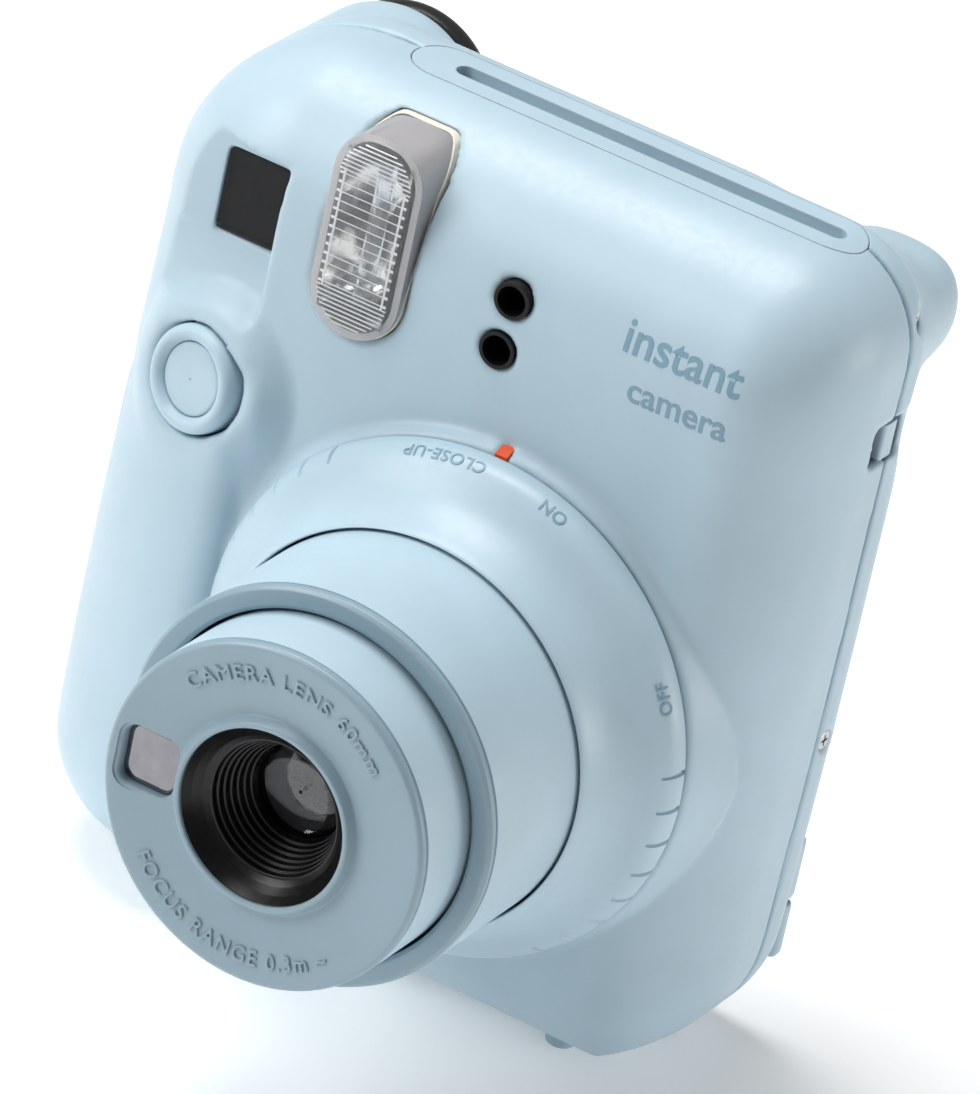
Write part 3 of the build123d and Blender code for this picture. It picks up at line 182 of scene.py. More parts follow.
def foil(name):
    """Crumpled reflector foil: large facets and soft waves; the dark and bright patches in its colour are
    painted reflections.
    """
    mat, nodes, links, shader = new_material(name)
    shader.inputs["Metallic"].default_value = 1.0
    coord = nodes.new("ShaderNodeTexCoord")
    cells = nodes.new("ShaderNodeTexVoronoi")
    cells.inputs["Scale"].default_value = 260.0
    links.new(coord.outputs["Object"], cells.inputs["Vector"])
    waves = noise_node(nodes, links, 130.0, 2.0)
    # painted reflections: the colour runs from near black to white with the waves, standing in for what the
    # crumpled foil mirrors
    ramp = ramp_node(nodes, links, waves.outputs["Fac"], (0.07, 0.07, 0.075), (0.97, 0.97, 0.96), 0.42, 0.54)
    links.new(ramp.outputs["Color"], shader.inputs["Base Color"])
    rough_map = range_node(nodes, links, waves.outputs["Fac"], 0.08, 0.24)
    links.new(rough_map.outputs["Result"], shader.inputs["Roughness"])
    mix = nodes.new("ShaderNodeMath")
    mix.operation = "ADD"
    links.new(cells.outputs["Distance"], mix.inputs[0])
    links.new(waves.outputs["Fac"], mix.inputs[1])
    bump = nodes.new("ShaderNodeBump")
    bump.inputs["Strength"].default_value = 0.5
    bump.inputs["Distance"].default_value = 0.0006
    links.new(mix.outputs["Value"], bump.inputs["Height"])
    links.new(bump.outputs["Normal"], shader.inputs["Normal"])
    return mat


def clear(name, color, rough=0.03, transmission=1.0, ior=1.49, haze_scale=300.0, haze=0.03, wave=0.03):
    """Clear or tinted moulding with a faint unevenness in gloss and surface."""
    mat, nodes, links, shader = new_material(name)
    cloud = noise_node(nodes, links, haze_scale)
    ramp = ramp_node(nodes, links, cloud.outputs["Fac"], tuple(c * 0.94 for c in color), color)
    links.new(ramp.outputs["Color"], shader.inputs["Base Color"])
    rough_map = range_node(nodes, links, cloud.outputs["Fac"], rough, rough + haze)
    links.new(rough_map.outputs["Result"], shader.inputs["Roughness"])
    bump = nodes.new("ShaderNodeBump")
    bump.inputs["Strength"].default_value = wave
    bump.inputs["Distance"].default_value = 0.0001
    links.new(cloud.outputs["Fac"], bump.inputs["Height"])
    links.new(bump.outputs["Normal"], shader.inputs["Normal"])
    shader.inputs["Transmission Weight"].default_value = transmission
    shader.inputs["IOR"].default_value = ior
    return mat


def pane(name, color, alpha, rough=0.04, spec=0.5):
    """Thin clear or tinted window: see-through by alpha, with a faint cloudiness in its gloss."""
    mat, nodes, links, shader = new_material(name)
    cloud = noise_node(nodes, links, 90.0)
    ramp = ramp_node(nodes, links, cloud.outputs["Fac"], tuple(c * 0.9 for c in color), color)
    links.new(ramp.outputs["Color"], shader.inputs["Base Color"])
    rough_map = range_node(nodes, links, cloud.outputs["Fac"], rough, rough + 0.03)
    links.new(rough_map.outputs["Result"], shader.inputs["Roughness"])
    shader.inputs["Alpha"].default_value = alpha
    shader.inputs["Specular IOR Level"].default_value = spec
    return mat


BLUE = (0.445, 0.583, 0.665)
# darker copy of the body blue: painted shade for the front-facing lens face, the outer barrel's front ring
# and the face lettering
FACE_SHADE_BLUE = (0.26, 0.365, 0.43)
MATS = {
    "body_shell": moulded("shell_blue", BLUE, 0.42, bevel=0.35),
    "lens_blue": moulded("barrel_blue", BLUE, 0.40, grain=0.10),
    # painted shade: the lens_trim slot gets the darker copy of the body blue
    "lens_trim": moulded("face_blue_painted_shade", FACE_SHADE_BLUE, 0.36, grain=0.08),
    "print": moulded("print_blue", (0.20, 0.345, 0.44), 0.42, grain=0.03),
    "black_plastic": moulded("inner_black", (0.006, 0.006, 0.007), 0.5, spread=0.2, spec=0.25),
    "black_gloss": moulded("funnel_black", (0.004, 0.004, 0.0045), 0.33, grain=0.03, spread=0.2, spec=0.35),
    "soft_black": moulded("eye_rubber", (0.016, 0.016, 0.017), 0.32, grain=0.2, spread=0.2),
    "seal": moulded("seal_cream", (0.74, 0.71, 0.62), 0.5),
    "index_orange": moulded("index_orange", (0.86, 0.10, 0.02), 0.3, grain=0.03),
    "gear_plastic": moulded("gear_white", (0.78, 0.76, 0.70), 0.4),
    "circuit_green": moulded("board_green", (0.02, 0.16, 0.06), 0.3, spread=0.15),
    "cell_jacket": moulded("cell_grey", (0.08, 0.09, 0.10), 0.28, spread=0.15),
    "capacitor_sleeve": moulded("sleeve_navy", (0.015, 0.018, 0.06), 0.25, spread=0.15),
    "steel": metal("drawn_steel", (0.58, 0.58, 0.58), 0.3),
    "brass": metal("turned_brass", (0.72, 0.52, 0.22), 0.28),
    "roller_metal": metal("roller_chrome", (0.75, 0.75, 0.76), 0.14, (60.0, 1.0, 1.0)),
    "reflector": foil("reflector_foil"),
    # painted shade: the mirror is darkened to grey so that its reflection comes out dim
    "mirror": metal("mirror_grey_painted_shade", (0.25, 0.25, 0.27), 0.05, (1.0, 1.0, 1.0), 0.01),
    "clear_window": pane("clear_window", (0.80, 0.82, 0.83), 0.10, 0.04, 1.0),
    "frosted": pane("frosted_wall", (0.60, 0.585, 0.60), 0.72, 0.22, 0.8),
    "smoked_window": pane("smoked_window", (0.008, 0.009, 0.010), 0.62, 0.06, 0.3),
    "lens_glass": clear("lens_glass", (0.86, 0.90, 0.95), 0.02, 1.0, 1.6, 20.0, 0.02, 0.0),
    "fresnel": moulded("fresnel_white", (0.82, 0.84, 0.86), 0.18, grain=0.02),
}


# ---- mesh helpers ------------------------------------------------------------------------
def piece(name, co_mm, faces, body, mat, replaced=(), sharp=32.0):
    """Object from points in millimetres and faces, riding on a body."""
    mesh = bpy.data.meshes.new(name)
    mesh.from_pydata([tuple(c * MM for c in p) for p in np.asarray(co_mm, float).tolist()], [], faces)
    mesh.validate()
    return finish_piece(name, mesh, body, mat, replaced, sharp)


def finish_piece(name, mesh, body, mat, replaced=(), sharp=32.0):
    """Shade, colour, slot and place a finished mesh."""
    mesh.materials.clear()
    mesh.materials.append(MATS[mat])
    mesh.polygons.foreach_set("use_smooth", [True] * len(mesh.polygons))
    if sharp < 180:
        mesh.set_sharp_from_angle(angle=math.radians(sharp))
    mesh.update()
    obj = bpy.data.objects.new(name, mesh)
    bpy.context.scene.collection.objects.link(obj)
    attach(obj, body)
    if replaced:
        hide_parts(*replaced)
    return obj


def soften(points, radius=0.15, steps=3):
    """Closed outline with every corner rounded off by a short curve."""
    pts = [np.array(p, float) for p in points]
    out = []
    for k, p in enumerate(pts):
        before, after = pts[k - 1], pts[(k + 1) % len(pts)]
        to_a, to_b = before - p, after - p
        la, lb = np.linalg.norm(to_a), np.linalg.norm(to_b)
        a = p + to_a * min(radius / la, 0.45)
        b = p + to_b * min(radius / lb, 0.45)
        for s in range(steps + 1):
            t = s / steps
            out.append(a * (1 - t) ** 2 + 2 * p * t * (1 - t) + b * t * t)
    return out


def turned_points(outline, x=LX, z=LZ):
    """Points and faces of a closed (radius, y) outline turned about the Y line through (x, z)."""
    n = len(outline)
    co = []
    for k in range(SEGS):
        a = 2 * math.pi * k / SEGS
        co += [(x + r * math.sin(a), y, z + r * math.cos(a)) for r, y in outline]
    faces = []
    for k in range(SEGS):
        m = (k + 1) % SEGS
        faces += [(k * n + i, m * n + i, m * n + (i + 1) % n, k * n + (i + 1) % n) for i in range(n)]
    return co, faces


def turned(name, outline, body, mat, replaced=(), radius=0.15, x=LX, z=LZ, sharp=32.0):
    """Turned piece with softened corners."""
    co, faces = turned_points(soften(outline, radius), x, z)
    return piece(name, co, faces, body, mat, replaced, sharp)


def mesh_arrays(mesh):
    """Vertex positions in millimetres and edges of a mesh."""
    co = np.empty(len(mesh.vertices) * 3)
    mesh.vertices.foreach_get("co", co)
    edges = np.empty(len(mesh.edges) * 2, int)
    mesh.edges.foreach_get("vertices", edges)
    return co.reshape(-1, 3) / MM, edges.reshape(-1, 2)


def relax(co, edges, weight, rounds, factor=0.6):
    """Laplacian smoothing, each point by its own weight."""
    n = len(co)
    a, b = edges[:, 0], edges[:, 1]
    share = np.maximum(np.bincount(a, minlength=n) + np.bincount(b, minlength=n), 1)[:, None]
    for _ in range(rounds):
        total = np.stack([np.bincount(a, co[b, k], n) + np.bincount(b, co[a, k], n) for k in range(3)], 1)
        co = co + weight[:, None] * factor * (total / share - co)
    return co


def voxel_mesh(source, size):
    """Even quad mesh of a closed mesh."""
    obj = bpy.data.objects.new("remesh_source", source.data.copy())
    bpy.context.scene.collection.objects.link(obj)
    bm = bmesh.new()
    bm.from_mesh(obj.data)
    bmesh.ops.remove_doubles(bm, verts=bm.verts, dist=0.00002)
    bm.to_mesh(obj.data)
    bm.free()
    mod = obj.modifiers.new("remesh", "REMESH")
    mod.mode = "VOXEL"
    mod.voxel_size = size * MM
    bpy.context.view_layer.update()
    out = bpy.data.meshes.new_from_object(obj.evaluated_get(bpy.context.evaluated_depsgraph_get()))
    bpy.data.objects.remove(obj)
    return out


# ---- outer form of the covers -----------------------------------------------------------
def edge_inset(z, r_low, r_high):
    """How far a side draws in at height z."""
    low, high = BASE + r_low, TOP - r_high
    if z < low:
        return r_low - math.sqrt(max(r_low ** 2 - (low - z) ** 2, 0.0))
    if z > high:
        return r_high - math.sqrt(max(r_high ** 2 - (z - high) ** 2, 0.0))
    return 0.0


def quarter(p0, p3, first_along_x, steps=28):
    """Points of a quarter ellipse from p0 to p3, last one left out."""
    k = 0.5523
    dx, dy = p3[0] - p0[0], p3[1] - p0[1]
    if first_along_x:
        p1, p2 = (p0[0] + k * dx, p0[1]), (p3[0], p3[1] - k * dy)
    else:
        p1, p2 = (p0[0], p0[1] + k * dy), (p3[0] - k * dx, p3[1])
    out = []
    for s in range(steps):
        t = s / steps
        w = ((1 - t) ** 3, 3 * t * (1 - t) ** 2, 3 * t * t * (1 - t), t ** 3)
        out.append(tuple(sum(wi * p[i] for wi, p in zip(w, (p0, p1, p2, p3))) for i in (0, 1)))
    return out


def body_ring(z):
    """Outline of the body at height z."""
    xl = LEFT + edge_inset(z, R_BOT_LEFT, R_TOP_LEFT)
    xr = RIGHT - RIGHT_LEAN * max(0.0, (72 - z) / 72) ** 2 - edge_inset(z, R_BOT_RIGHT, R_TOP_RIGHT)
    yf = min(FRONT + edge_inset(z, R_FRONT_BOT, R_FRONT_TOP), FRONT_CY - 0.4)
    yb = BACK - edge_inset(z, R_BACK, R_BACK)
    rb = max(yb - (BACK - R_BACK), 0.4)
    cxl, cxr = max(FRONT_CXL, xl + 0.4), min(FRONT_CXR, xr - 0.4)
    ring = quarter((cxr, yf), (xr, FRONT_CY), True) + quarter((xr, yb - rb), (xr - rb, yb), False)
    ring += quarter((xl + rb, yb), (xl, yb - rb), True) + quarter((xl, FRONT_CY), (cxl, yf), False)
    return [(x, y, z) for x, y in ring + [(cxl, yf)]]


def grip_ring(z):
    """Outline of the grip column at height z."""
    front = np.interp(z, *zip(*GRIP_KNOTS))
    xl = LEFT + 0.4 + edge_inset(z, R_BOT_LEFT, R_TOP_LEFT)
    yg = min(front + edge_inset(z, R_FRONT_BOT + 2, 10.0), GRIP_CY - 1.0)
    small = min(5.0, GRIP_CY - yg - 0.5)
    ring = quarter((xl, GRIP_CY), (GRIP_PEAK, yg), False)
    ring += quarter((GRIP_PEAK, yg), (GRIP_RIGHT, yg + small), True)
    return [(x, y, z) for x, y in ring + [(GRIP_RIGHT, GRIP_CY)]]


def heights(low_r, high_r, top):
    """Heights of the rings, close together where the edges round off."""
    turn = np.radians(np.linspace(90, 0, 30))
    low = BASE + low_r * (1 - np.sin(turn))
    high = top - high_r * (1 - np.sin(turn[::-1]))
    return [*low, *np.linspace(low[-1] + 2, high[0] - 2, 24), *high]


def stacked(rings):
    """Points and faces of a closed stack of rings."""
    n = len(rings[0])
    co = [p for ring in rings for p in ring]
    faces = []
    for k in range(len(rings) - 1):
        low, high = k * n, (k + 1) * n
        faces += [(low + i, low + (i + 1) % n, high + (i + 1) % n, high + i) for i in range(n)]
    faces += [tuple(range(n))[::-1], tuple(range((len(rings) - 1) * n, len(rings) * n))]
    return co, faces


def looped(rings):
    """Points and faces of a tube whose wall is a closed loop of rings."""
    n, m = len(rings[0]), len(rings)
    co = [p for ring in rings for p in ring]
    faces = [(k * n + i, k * n + (i + 1) % n, (k + 1) % m * n + (i + 1) % n, (k + 1) % m * n + i)
             for k in range(m) for i in range(n)]
    return co, faces


def form_tree(rings):
    """Nearest-point tree of a stack of rings."""
    co, faces = stacked(rings)
    return BVHTree.FromPolygons(co, faces)


BODY_TREE = form_tree([body_ring(z) for z in heights(R_FRONT_BOT, R_FRONT_TOP, TOP)])
GRIP_TREE = form_tree([grip_ring(z) for z in [*heights(R_FRONT_BOT + 1.5, 8.0, 94.0), GRIP_TOP]])


def ramp01(value, low, high):
    """Smooth step from 0 at low to 1 at high."""
    t = np.clip((value - low) / (high - low), 0, 1)
    return t * t * (3 - 2 * t)


def vertex_normals(co, quads):
    """Normals of the points of a mesh of quads."""
    d1 = co[quads[:, 2]] - co[quads[:, 0]]
    d2 = co[quads[:, 3]] - co[quads[:, 1]]
    area = np.cross(d1, d2)
    total = np.zeros_like(co)
    for k in range(4):
        for axis in range(3):
            total[:, axis] += np.bincount(quads[:, k], area[:, axis], len(co))
    return total / np.maximum(np.linalg.norm(total, axis=1), 1e-9)[:, None]


def snap(co, normals, soft):
    """Pull points that lie near the outer form onto it; returns points and crease weights."""
    out = co.copy()
    crease = np.zeros(len(co))
    for k, p in enumerate(co):
        hit = BODY_TREE.find_nearest(p, NEAR)
        other = GRIP_TREE.find_nearest(p, NEAR)
        if hit[0] is None and other[0] is None:
            continue
        if hit[0] is not None and other[0] is not None:
            crease[k] = 1 - max(hit[3], other[3]) / NEAR
        best = hit if other[0] is None or (hit[0] is not None and hit[3] <= other[3]) else other
        if best[3] > SNAP:
            continue
        facing = normals[k] @ np.array(best[1])
        if facing > 0.9:
            w = soft[k] * min(1.0, (facing - 0.9) / 0.07)
            out[k] = p + (np.array(best[0]) - p) * w
    return out, crease


def joined(name, *nodes):
    """One loose object that holds copies of several CAD meshes."""
    bm = bmesh.new()
    for node in nodes:
        bm.from_mesh(NODES[node].data)
    mesh = bpy.data.meshes.new(name)
    bm.to_mesh(mesh)
    bm.free()
    return bpy.data.objects.new(name, mesh)


def seat_cutter():
    """Exact prism of the seat that the film exit plate lies in."""
    (x0, x1), half = PLATE_X, PLATE_HALF
    ring = []
    for cx, start in ((x1 - half, -90), (x0 + half, 90)):
        for k in range(49):
            a = math.radians(start + 180 * k / 48)
            ring.append((cx + half * math.cos(a), FILM_Y + half * math.sin(a)))
    co, faces = stacked([[(x, y, z) for x, y in ring] for z in (TOP - 2.7, TOP + 3.0)])
    mesh = bpy.data.meshes.new("seat_cutter")
    mesh.from_pydata([tuple(c * MM for c in p) for p in co], [], faces)
    obj = bpy.data.objects.new("seat_cutter", mesh)
    bpy.context.scene.collection.objects.link(obj)
    return obj


def cut_out(obj, cutter, solver="MANIFOLD"):
    """Take the cutter away from a closed mesh and drop the cutter."""
    cut = obj.modifiers.new("cut", "BOOLEAN")
    cut.operation = "DIFFERENCE"
    cut.solver = solver
    cut.object = cutter
    apply_modifiers(obj)
    bpy.data.objects.remove(cutter)


def button_boss(co, normals):
    """Lift the outside round the release button, so that the button lies nearly flush all round."""
    n = np.array(BTN_DIR) / np.linalg.norm(BTN_DIR)
    away = co - np.array(BTN_POS)
    height = away @ n
    radius = np.linalg.norm(away - height[:, None] * n, axis=1)
    share = ramp01(-radius, -BOSS_R[1], -BOSS_R[0]) * ramp01(normals @ n, 0.05, 0.35)
    share *= ramp01(height, -9.0, -7.2) * (height < BOSS_TOP) * (radius > BTN_R + 0.1)
    return co + ((BOSS_TOP - height) * share)[:, None] * n


def scoop_weight(co):
    """1 in the viewfinder hollow, 0 away from it."""
    across = ramp01(co[:, 0], SCOOP_X[0] - 1, SCOOP_X[0])
    across *= ramp01(-co[:, 0], -SCOOP_X[1] - 3.0, -SCOOP_X[1] + 1.0)
    low = ramp01(co[:, 2], SCOOP_Z[0] - 3.0, SCOOP_Z[0])
    high = ramp01(-co[:, 2], -SCOOP_Z[1] - 1.0, -SCOOP_Z[1] + 1.0)
    return across * low * high * ramp01(-co[:, 1], -9.0, -7.0)


def bump_weight(co):
    """1 on the corner bump at the rear right, 0 away from it."""
    return ramp01(co[:, 0], 20.0, 28.0) * ramp01(co[:, 2], 86.0, 94.0) * ramp01(co[:, 1], 26.4, 29.5)


def finer(rounds):
    """Smoothing rounds that reach equally far whatever the size of the mesh."""
    return int(rounds * (0.5 / VOXEL) ** 2)


def cover(name, node, body, rounds=4, filler=()):
    """Smooth skin of one cover: evenly meshed, edges eased, outside on the exact outer form."""
    source = joined("cover_source", node, *filler)
    mesh = voxel_mesh(source, VOXEL)
    bpy.data.objects.remove(source)
    co, edges = mesh_arrays(mesh)
    quads = np.empty(len(mesh.loops), int)
    mesh.loops.foreach_get("vertex_index", quads)
    quads = quads.reshape(-1, 4)
    scoop = scoop_weight(co)
    co = relax(co, edges, 1 - 0.85 * scoop, rounds)
    bump = bump_weight(co)
    co = relax(co, edges, bump, finer(BUMP_ROUNDS))
    normals = vertex_normals(co, quads)
    co, crease = snap(co, normals, (1 - scoop) * (1 - bump))
    if node == "front_cover":
        co = button_boss(co, normals)
    valley = ramp01(crease, 0.15, 0.75) * ramp01(-co[:, 1], -14.0, -9.0) * (1 - scoop)
    co = relax(co, edges, valley, finer(30))
    co = relax(co, edges, np.ones(len(co)), 1)
    mesh.vertices.foreach_set("co", (co * MM).ravel())
    skin = finish_piece(name, mesh, body, "body_shell", (node,), 180.0)
    if filler:
        cut_out(skin, seat_cutter())
        skin.data.set_sharp_from_angle(angle=math.radians(50))
    return skin


def covers():
    """Front and rear cover and both doors; the film exit plate keeps its exact CAD edges."""
    cover("front_cover_skin", "front_cover", "body", filler=("film_exit_plate",))
    cover("rear_cover_skin", "rear_cover", "body", filler=("film_exit_plate",))
    cover("battery_door_skin", "battery_door", "battery_door", 2)
    cover("film_door_skin", "film_door", "film_door", 2)


# ---- lens -----------------------------------------------------------------------------------
def mode_ring():
    """Flared ring with two rows of short grip grooves in its shoulder."""
    outer = [(CONE_R, CONE_Y + 0.3), (27.7, CONE_Y), (28.15, -16.0), (28.75, -14.0), (29.7, -11.8),
             *SHOULDER, (35.6, RING_BACK)]
    under = [(34.2, RING_BACK), (34.1, -4.6), (33.3, -5.7), (31.6, -7.1), (30.4, -8.3), (29.7, -9.3),
             (CONE_R, -9.3)]
    outline = soften(outer + under, 1.2)
    grooves = [start + 8.4 * k for start in (82.0, 262.0) for k in range(8)]
    angles = set(np.round(np.linspace(0, 360, SEGS, endpoint=False), 3))
    for g in grooves:
        angles |= set(np.round(g + np.linspace(-0.9, 0.9, 13), 3))
    co = []
    for a in sorted(angles):
        near = min(abs((a - g + 180) % 360 - 180) for g in grooves)
        cut = 0.42 * float(1 - ramp01(near, 0.30, 0.62))
        for r, y in outline:
            outside = float(ramp01(r, 34.0, 34.4) * ramp01(y, -7.3, -6.9)) if r > 34.25 or y > -6 else 0.0
            rr = r - cut * outside
            t = math.radians(a)
            co.append((LX + rr * math.sin(t), y, LZ + rr * math.cos(t)))
    n, m = len(outline), len(angles)
    faces = [(k * n + i, ((k + 1) % m) * n + i, ((k + 1) % m) * n + (i + 1) % n, k * n + (i + 1) % n)
             for k in range(m) for i in range(n)]
    piece("mode_ring_flare", co, faces, "mode_ring", "lens_blue", ("mode_ring",))


def barrels():
    """Both barrels with the fine seam behind each front ring."""
    r, y = OUTER_R, OUTER_Y
    tube = [(r - 1.2, y + 1.35), (r - 0.35, y + 1.35), (r - 0.35, y + 1.75), (r, y + 1.75), (r, OUTER_BACK),
            (24.2, OUTER_BACK), (24.2, OUTER_BACK - 1.6), (r - 1.2, OUTER_BACK - 1.6)]
    turned("outer_barrel_tube", tube, "outer_lens", "lens_blue", ("outer_barrel",), 0.12)
    front = [(INNER_R + 0.45, y + 0.5), (INNER_R + 1.0, y + 0.12), (r - 0.55, y), (r, y + 0.45), (r, y + 1.3),
             (INNER_R + 0.45, y + 1.3)]
    turned("outer_barrel_front", front, "outer_lens", "lens_trim", ("outer_barrel_cap",), 0.16)
    r, y = INNER_R, FACE_Y
    tube = [(r - 1.2, y + 1.35), (r - 0.35, y + 1.35), (r - 0.35, y + 1.7), (r, y + 1.7), (r, INNER_BACK),
            (r - 1.2, INNER_BACK)]
    turned("inner_barrel_tube", tube, "inner_lens", "lens_blue", ("inner_barrel",), 0.12)


def rounded_square(x0, x1, z0, z1, radius, grow, y, steps=10):
    """Ring of points of a rounded square, grown outwards."""
    r = radius + grow
    out = []
    for cx, cz, start in ((x1 - radius, z1 - radius, 0), (x0 + radius, z1 - radius, 90),
                          (x0 + radius, z0 + radius, 180), (x1 - radius, z0 + radius, 270)):
        for s in range(steps + 1):
            a = math.radians(start + 90 * s / steps)
            out.append((cx + r * math.cos(a), y, cz + r * math.sin(a)))
    return out


def dish(r):
    """Depth of the dished lens face at radius r."""
    inner, outer = DISH_R
    return DISH * min(1.0, max(0.0, (outer - r) / (outer - inner))) ** 1.15


def lens_face():
    """Face plate: raised lip round the funnel and a soft-edged recess for the mirror."""
    y = FACE_Y
    slope = [(r, y + dish(r)) for r in np.linspace(*DISH_R, 8)]
    outline = [(12.0, y + 2.0), (12.0, LIP_Y + 0.2), (12.2, LIP_Y + 0.03), (12.75, LIP_Y + 0.03), *slope,
               (INNER_R - 0.5, y), (INNER_R, y + 0.45), (INNER_R, y + 1.25), (INNER_R - 2.0, y + 2.0)]
    co, faces = turned_points(soften(outline, 0.22))
    plate = piece("lens_face_plate", co, faces, "inner_lens", "lens_trim", ("lens_face",), 40.0)
    x0, x1 = LX + MIRROR_X[0], LX + MIRROR_X[1]
    z0, z1 = LZ - MIRROR_HALF, LZ + MIRROR_HALF
    rings = [rounded_square(x0, x1, z0, z1, 1.8, 0.8, y - 0.6)]
    for s in range(7):
        a = math.radians(90 * s / 6)
        grow, deep = 0.55 * (1 - math.sin(a)), 0.35 + 0.75 * (1 - math.cos(a))
        rings.append(rounded_square(x0, x1, z0, z1, 1.8, grow, y + deep))
    rings.append(rounded_square(x0, x1, z0, z1, 1.8, 0.0, y + 3.0))
    co, faces = stacked(rings)
    mesh = bpy.data.meshes.new("recess_cutter")
    mesh.from_pydata([tuple(c * MM for c in p) for p in co], [], faces)
    bm = bmesh.new()
    bm.from_mesh(mesh)
    bmesh.ops.recalc_face_normals(bm, faces=bm.faces)
    bm.to_mesh(mesh)
    bm.free()
    cutter = bpy.data.objects.new("recess_cutter", mesh)
    bpy.context.scene.collection.objects.link(cutter)
    cut_out(plate, cutter, "EXACT")
    plate.data.set_sharp_from_angle(angle=math.radians(40))


def apply_modifiers(obj):
    """Replace an object's mesh with its evaluated one."""
    bpy.context.view_layer.update()
    graph = bpy.context.evaluated_depsgraph_get()
    ready = obj.evaluated_get(graph)
    done = bpy.data.meshes.new_from_object(ready, preserve_all_data_layers=True, depsgraph=graph)
    obj.modifiers.clear()
    obj.data = done


def selfie_mirror():
    """Convex mirror set into the recess, with a narrow rounded edge."""
    x0, x1 = LX + MIRROR_X[0] + 0.12, LX + MIRROR_X[1] - 0.12
    z0, z1 = LZ - MIRROR_HALF + 0.12, LZ + MIRROR_HALF - 0.12
    mid = ((x0 + x1) / 2, (z0 + z1) / 2)
    y = FACE_Y + 1.35
    rim = rounded_square(x0, x1, z0, z1, 1.7, 0.0, 0.0)
    shares = [1.0, 0.97, 0.9, 0.8, 0.68, 0.55, 0.4, 0.25, 0.1]
    rings = [[(px, y + 1.9, pz) for px, _, pz in rim], [(px, y + 0.75, pz) for px, _, pz in rim]]
    for s in shares:
        ring = []
        for px, _, pz in rim:
            dx, dz = (px - mid[0]) * s, (pz - mid[1]) * s
            edge = 0.16 * max(0.0, (s - 0.9) / 0.1) ** 2
            ring.append((mid[0] + dx, y + (dx * dx + dz * dz) / 80 + edge, mid[1] + dz))
        rings.append(ring)
    co, faces = stacked(rings)
    piece("selfie_mirror_dome", co, faces, "inner_lens", "mirror", ("selfie_mirror",), 50.0)


def lens_funnel():
    """Black stepped funnel; its wide front land is polished."""
    y = FACE_Y
    steps = [(11.95, y + 0.1), (11.7, y + 0.5), (11.1, y + 1.4), (10.2, y + 2.5), (9.4, y + 3.1)]
    r, d = 9.4, y + 3.1
    while r > 6.9:
        steps += [(r - 0.28, d + 0.04), (r - 0.34, d + 0.5), (r - 0.37, d + 0.95)]
        r, d = r - 0.40, d + 0.97
    back = [(r - 0.1, d + 0.3), (8.3, d + 0.3), (10.6, y + 4.0), (11.95, y + 3.4)]
    turned("lens_funnel_steps", steps + back, "inner_lens", "black_gloss",
           ("lens_funnel",), 0.16)


def glasses():
    """Front glass, ground to a smooth dome."""
    y, r = FACE_Y + 11.1, 6.5
    dome = [(r * s, y - 1.4 * (1 - s * s)) for s in (0.01, 0.2, 0.4, 0.6, 0.8, 0.92, 1.0)]
    back = [(r, y + 1.0), (r * 0.6, y + 1.12), (r * 0.01, y + 1.2)]
    turned("front_glass_dome", dome + back, "inner_lens", "lens_glass",
           ("front_glass",), 0.3, sharp=60)


# ---- release button -------------------------------------------------------------------------
def button_matrix():
    """Place and tilt of the release button, outwards along its own Z."""
    n = Vector(BTN_DIR).normalized()
    return Matrix.Translation(Vector(BTN_POS) - n * BTN_SINK) @ n.to_track_quat("Z", "Y").to_matrix().to_4x4()


def turned_button(name, outline, radius, mat, replaced):
    """Piece turned about the button's axis from (radius, height) points."""
    place = button_matrix()
    co, faces = turned_points(soften(outline, radius), 0, 0)
    co = [tuple(place @ Vector((x, z, y))) for x, y, z in co]
    faces = [f[::-1] for f in faces]
    piece(name, co, faces, "release_button", mat, replaced)


def release_button():
    """Rounded ring with a set-in disc; the underside stays where the CAD ring has it."""
    r = BTN_R
    low = BTN_SINK - 4.0
    turned_button("release_ring", [(0.05, low), (r, low), (r, -0.4), (r - 0.15, 0.4), (r - 0.6, 0.95),
                                   (r - 1.15, 1.13), (r - 1.7, 0.95), (r - 2.1, 0.45), (r - 2.3, 0.1),
                                   (r - 2.36, -0.4), (0.05, -0.4)], 0.5, "body_shell", ("shutter_button",))
    d = r - 2.42
    turned_button("release_disc", [(0.05, -0.38), (d, -0.38), (d, 0.05), (d - 0.35, 0.22), (0.05, 0.27)], 0.2,
                  "body_shell", ("shutter_button_disc",))


# ---- flash -----------------------------------------------------------------------------------
def stadium(inset, y, steps=28):
    """Ring of points of the flash outline drawn in by inset."""
    r = FL_R - inset
    roof = FL_Z[1] - inset - FL_DROP * max(0.0, y - FL_FRONT - 1.0)
    out = []
    for cz, start in ((FL_Z[1] - FL_R, 0), (FL_Z[0] + FL_R, 180)):
        for s in range(steps + 1):
            a = math.radians(start + 180 * s / steps)
            z = cz + r * math.sin(a)
            out.append((FL_X + r * math.cos(a), y, z - soft_excess(z - roof, 1.6)))
    return out


def soft_excess(over, width):
    """How far a height is pressed down under a roof, eased in over width."""
    t = max(0.0, over + width / 2)
    return min(t * t / (2 * width), over) if over > width / 2 else t * t / (2 * width)


def flash_gasket():
    """Cream seal round the side of the flash, following the surface of the body."""
    inner, outer = [], []
    for inset, ring in ((0.0, inner), (-0.2, outer)):
        count = len(stadium(inset, 0.0))
        for k in range(count):
            y = 0.0
            for _ in range(4):
                x, _y, z = stadium(inset, y)[k]
                hit = BODY_TREE.ray_cast(Vector((x, -60.0, z)), Vector((0, 1, 0)))
                y = min(hit[0].y, FL_BACK - 0.5) if hit[0] else FL_BACK - 0.5
            ring.append((x, y - 0.06, z))
    back = [[(x, y + 2.2, z) for x, y, z in ring] for ring in (outer, inner)]
    co, faces = looped([inner, outer, *back])
    piece("flash_gasket_lip", co, faces, "body", "seal", ("flash_gasket",), 50.0)


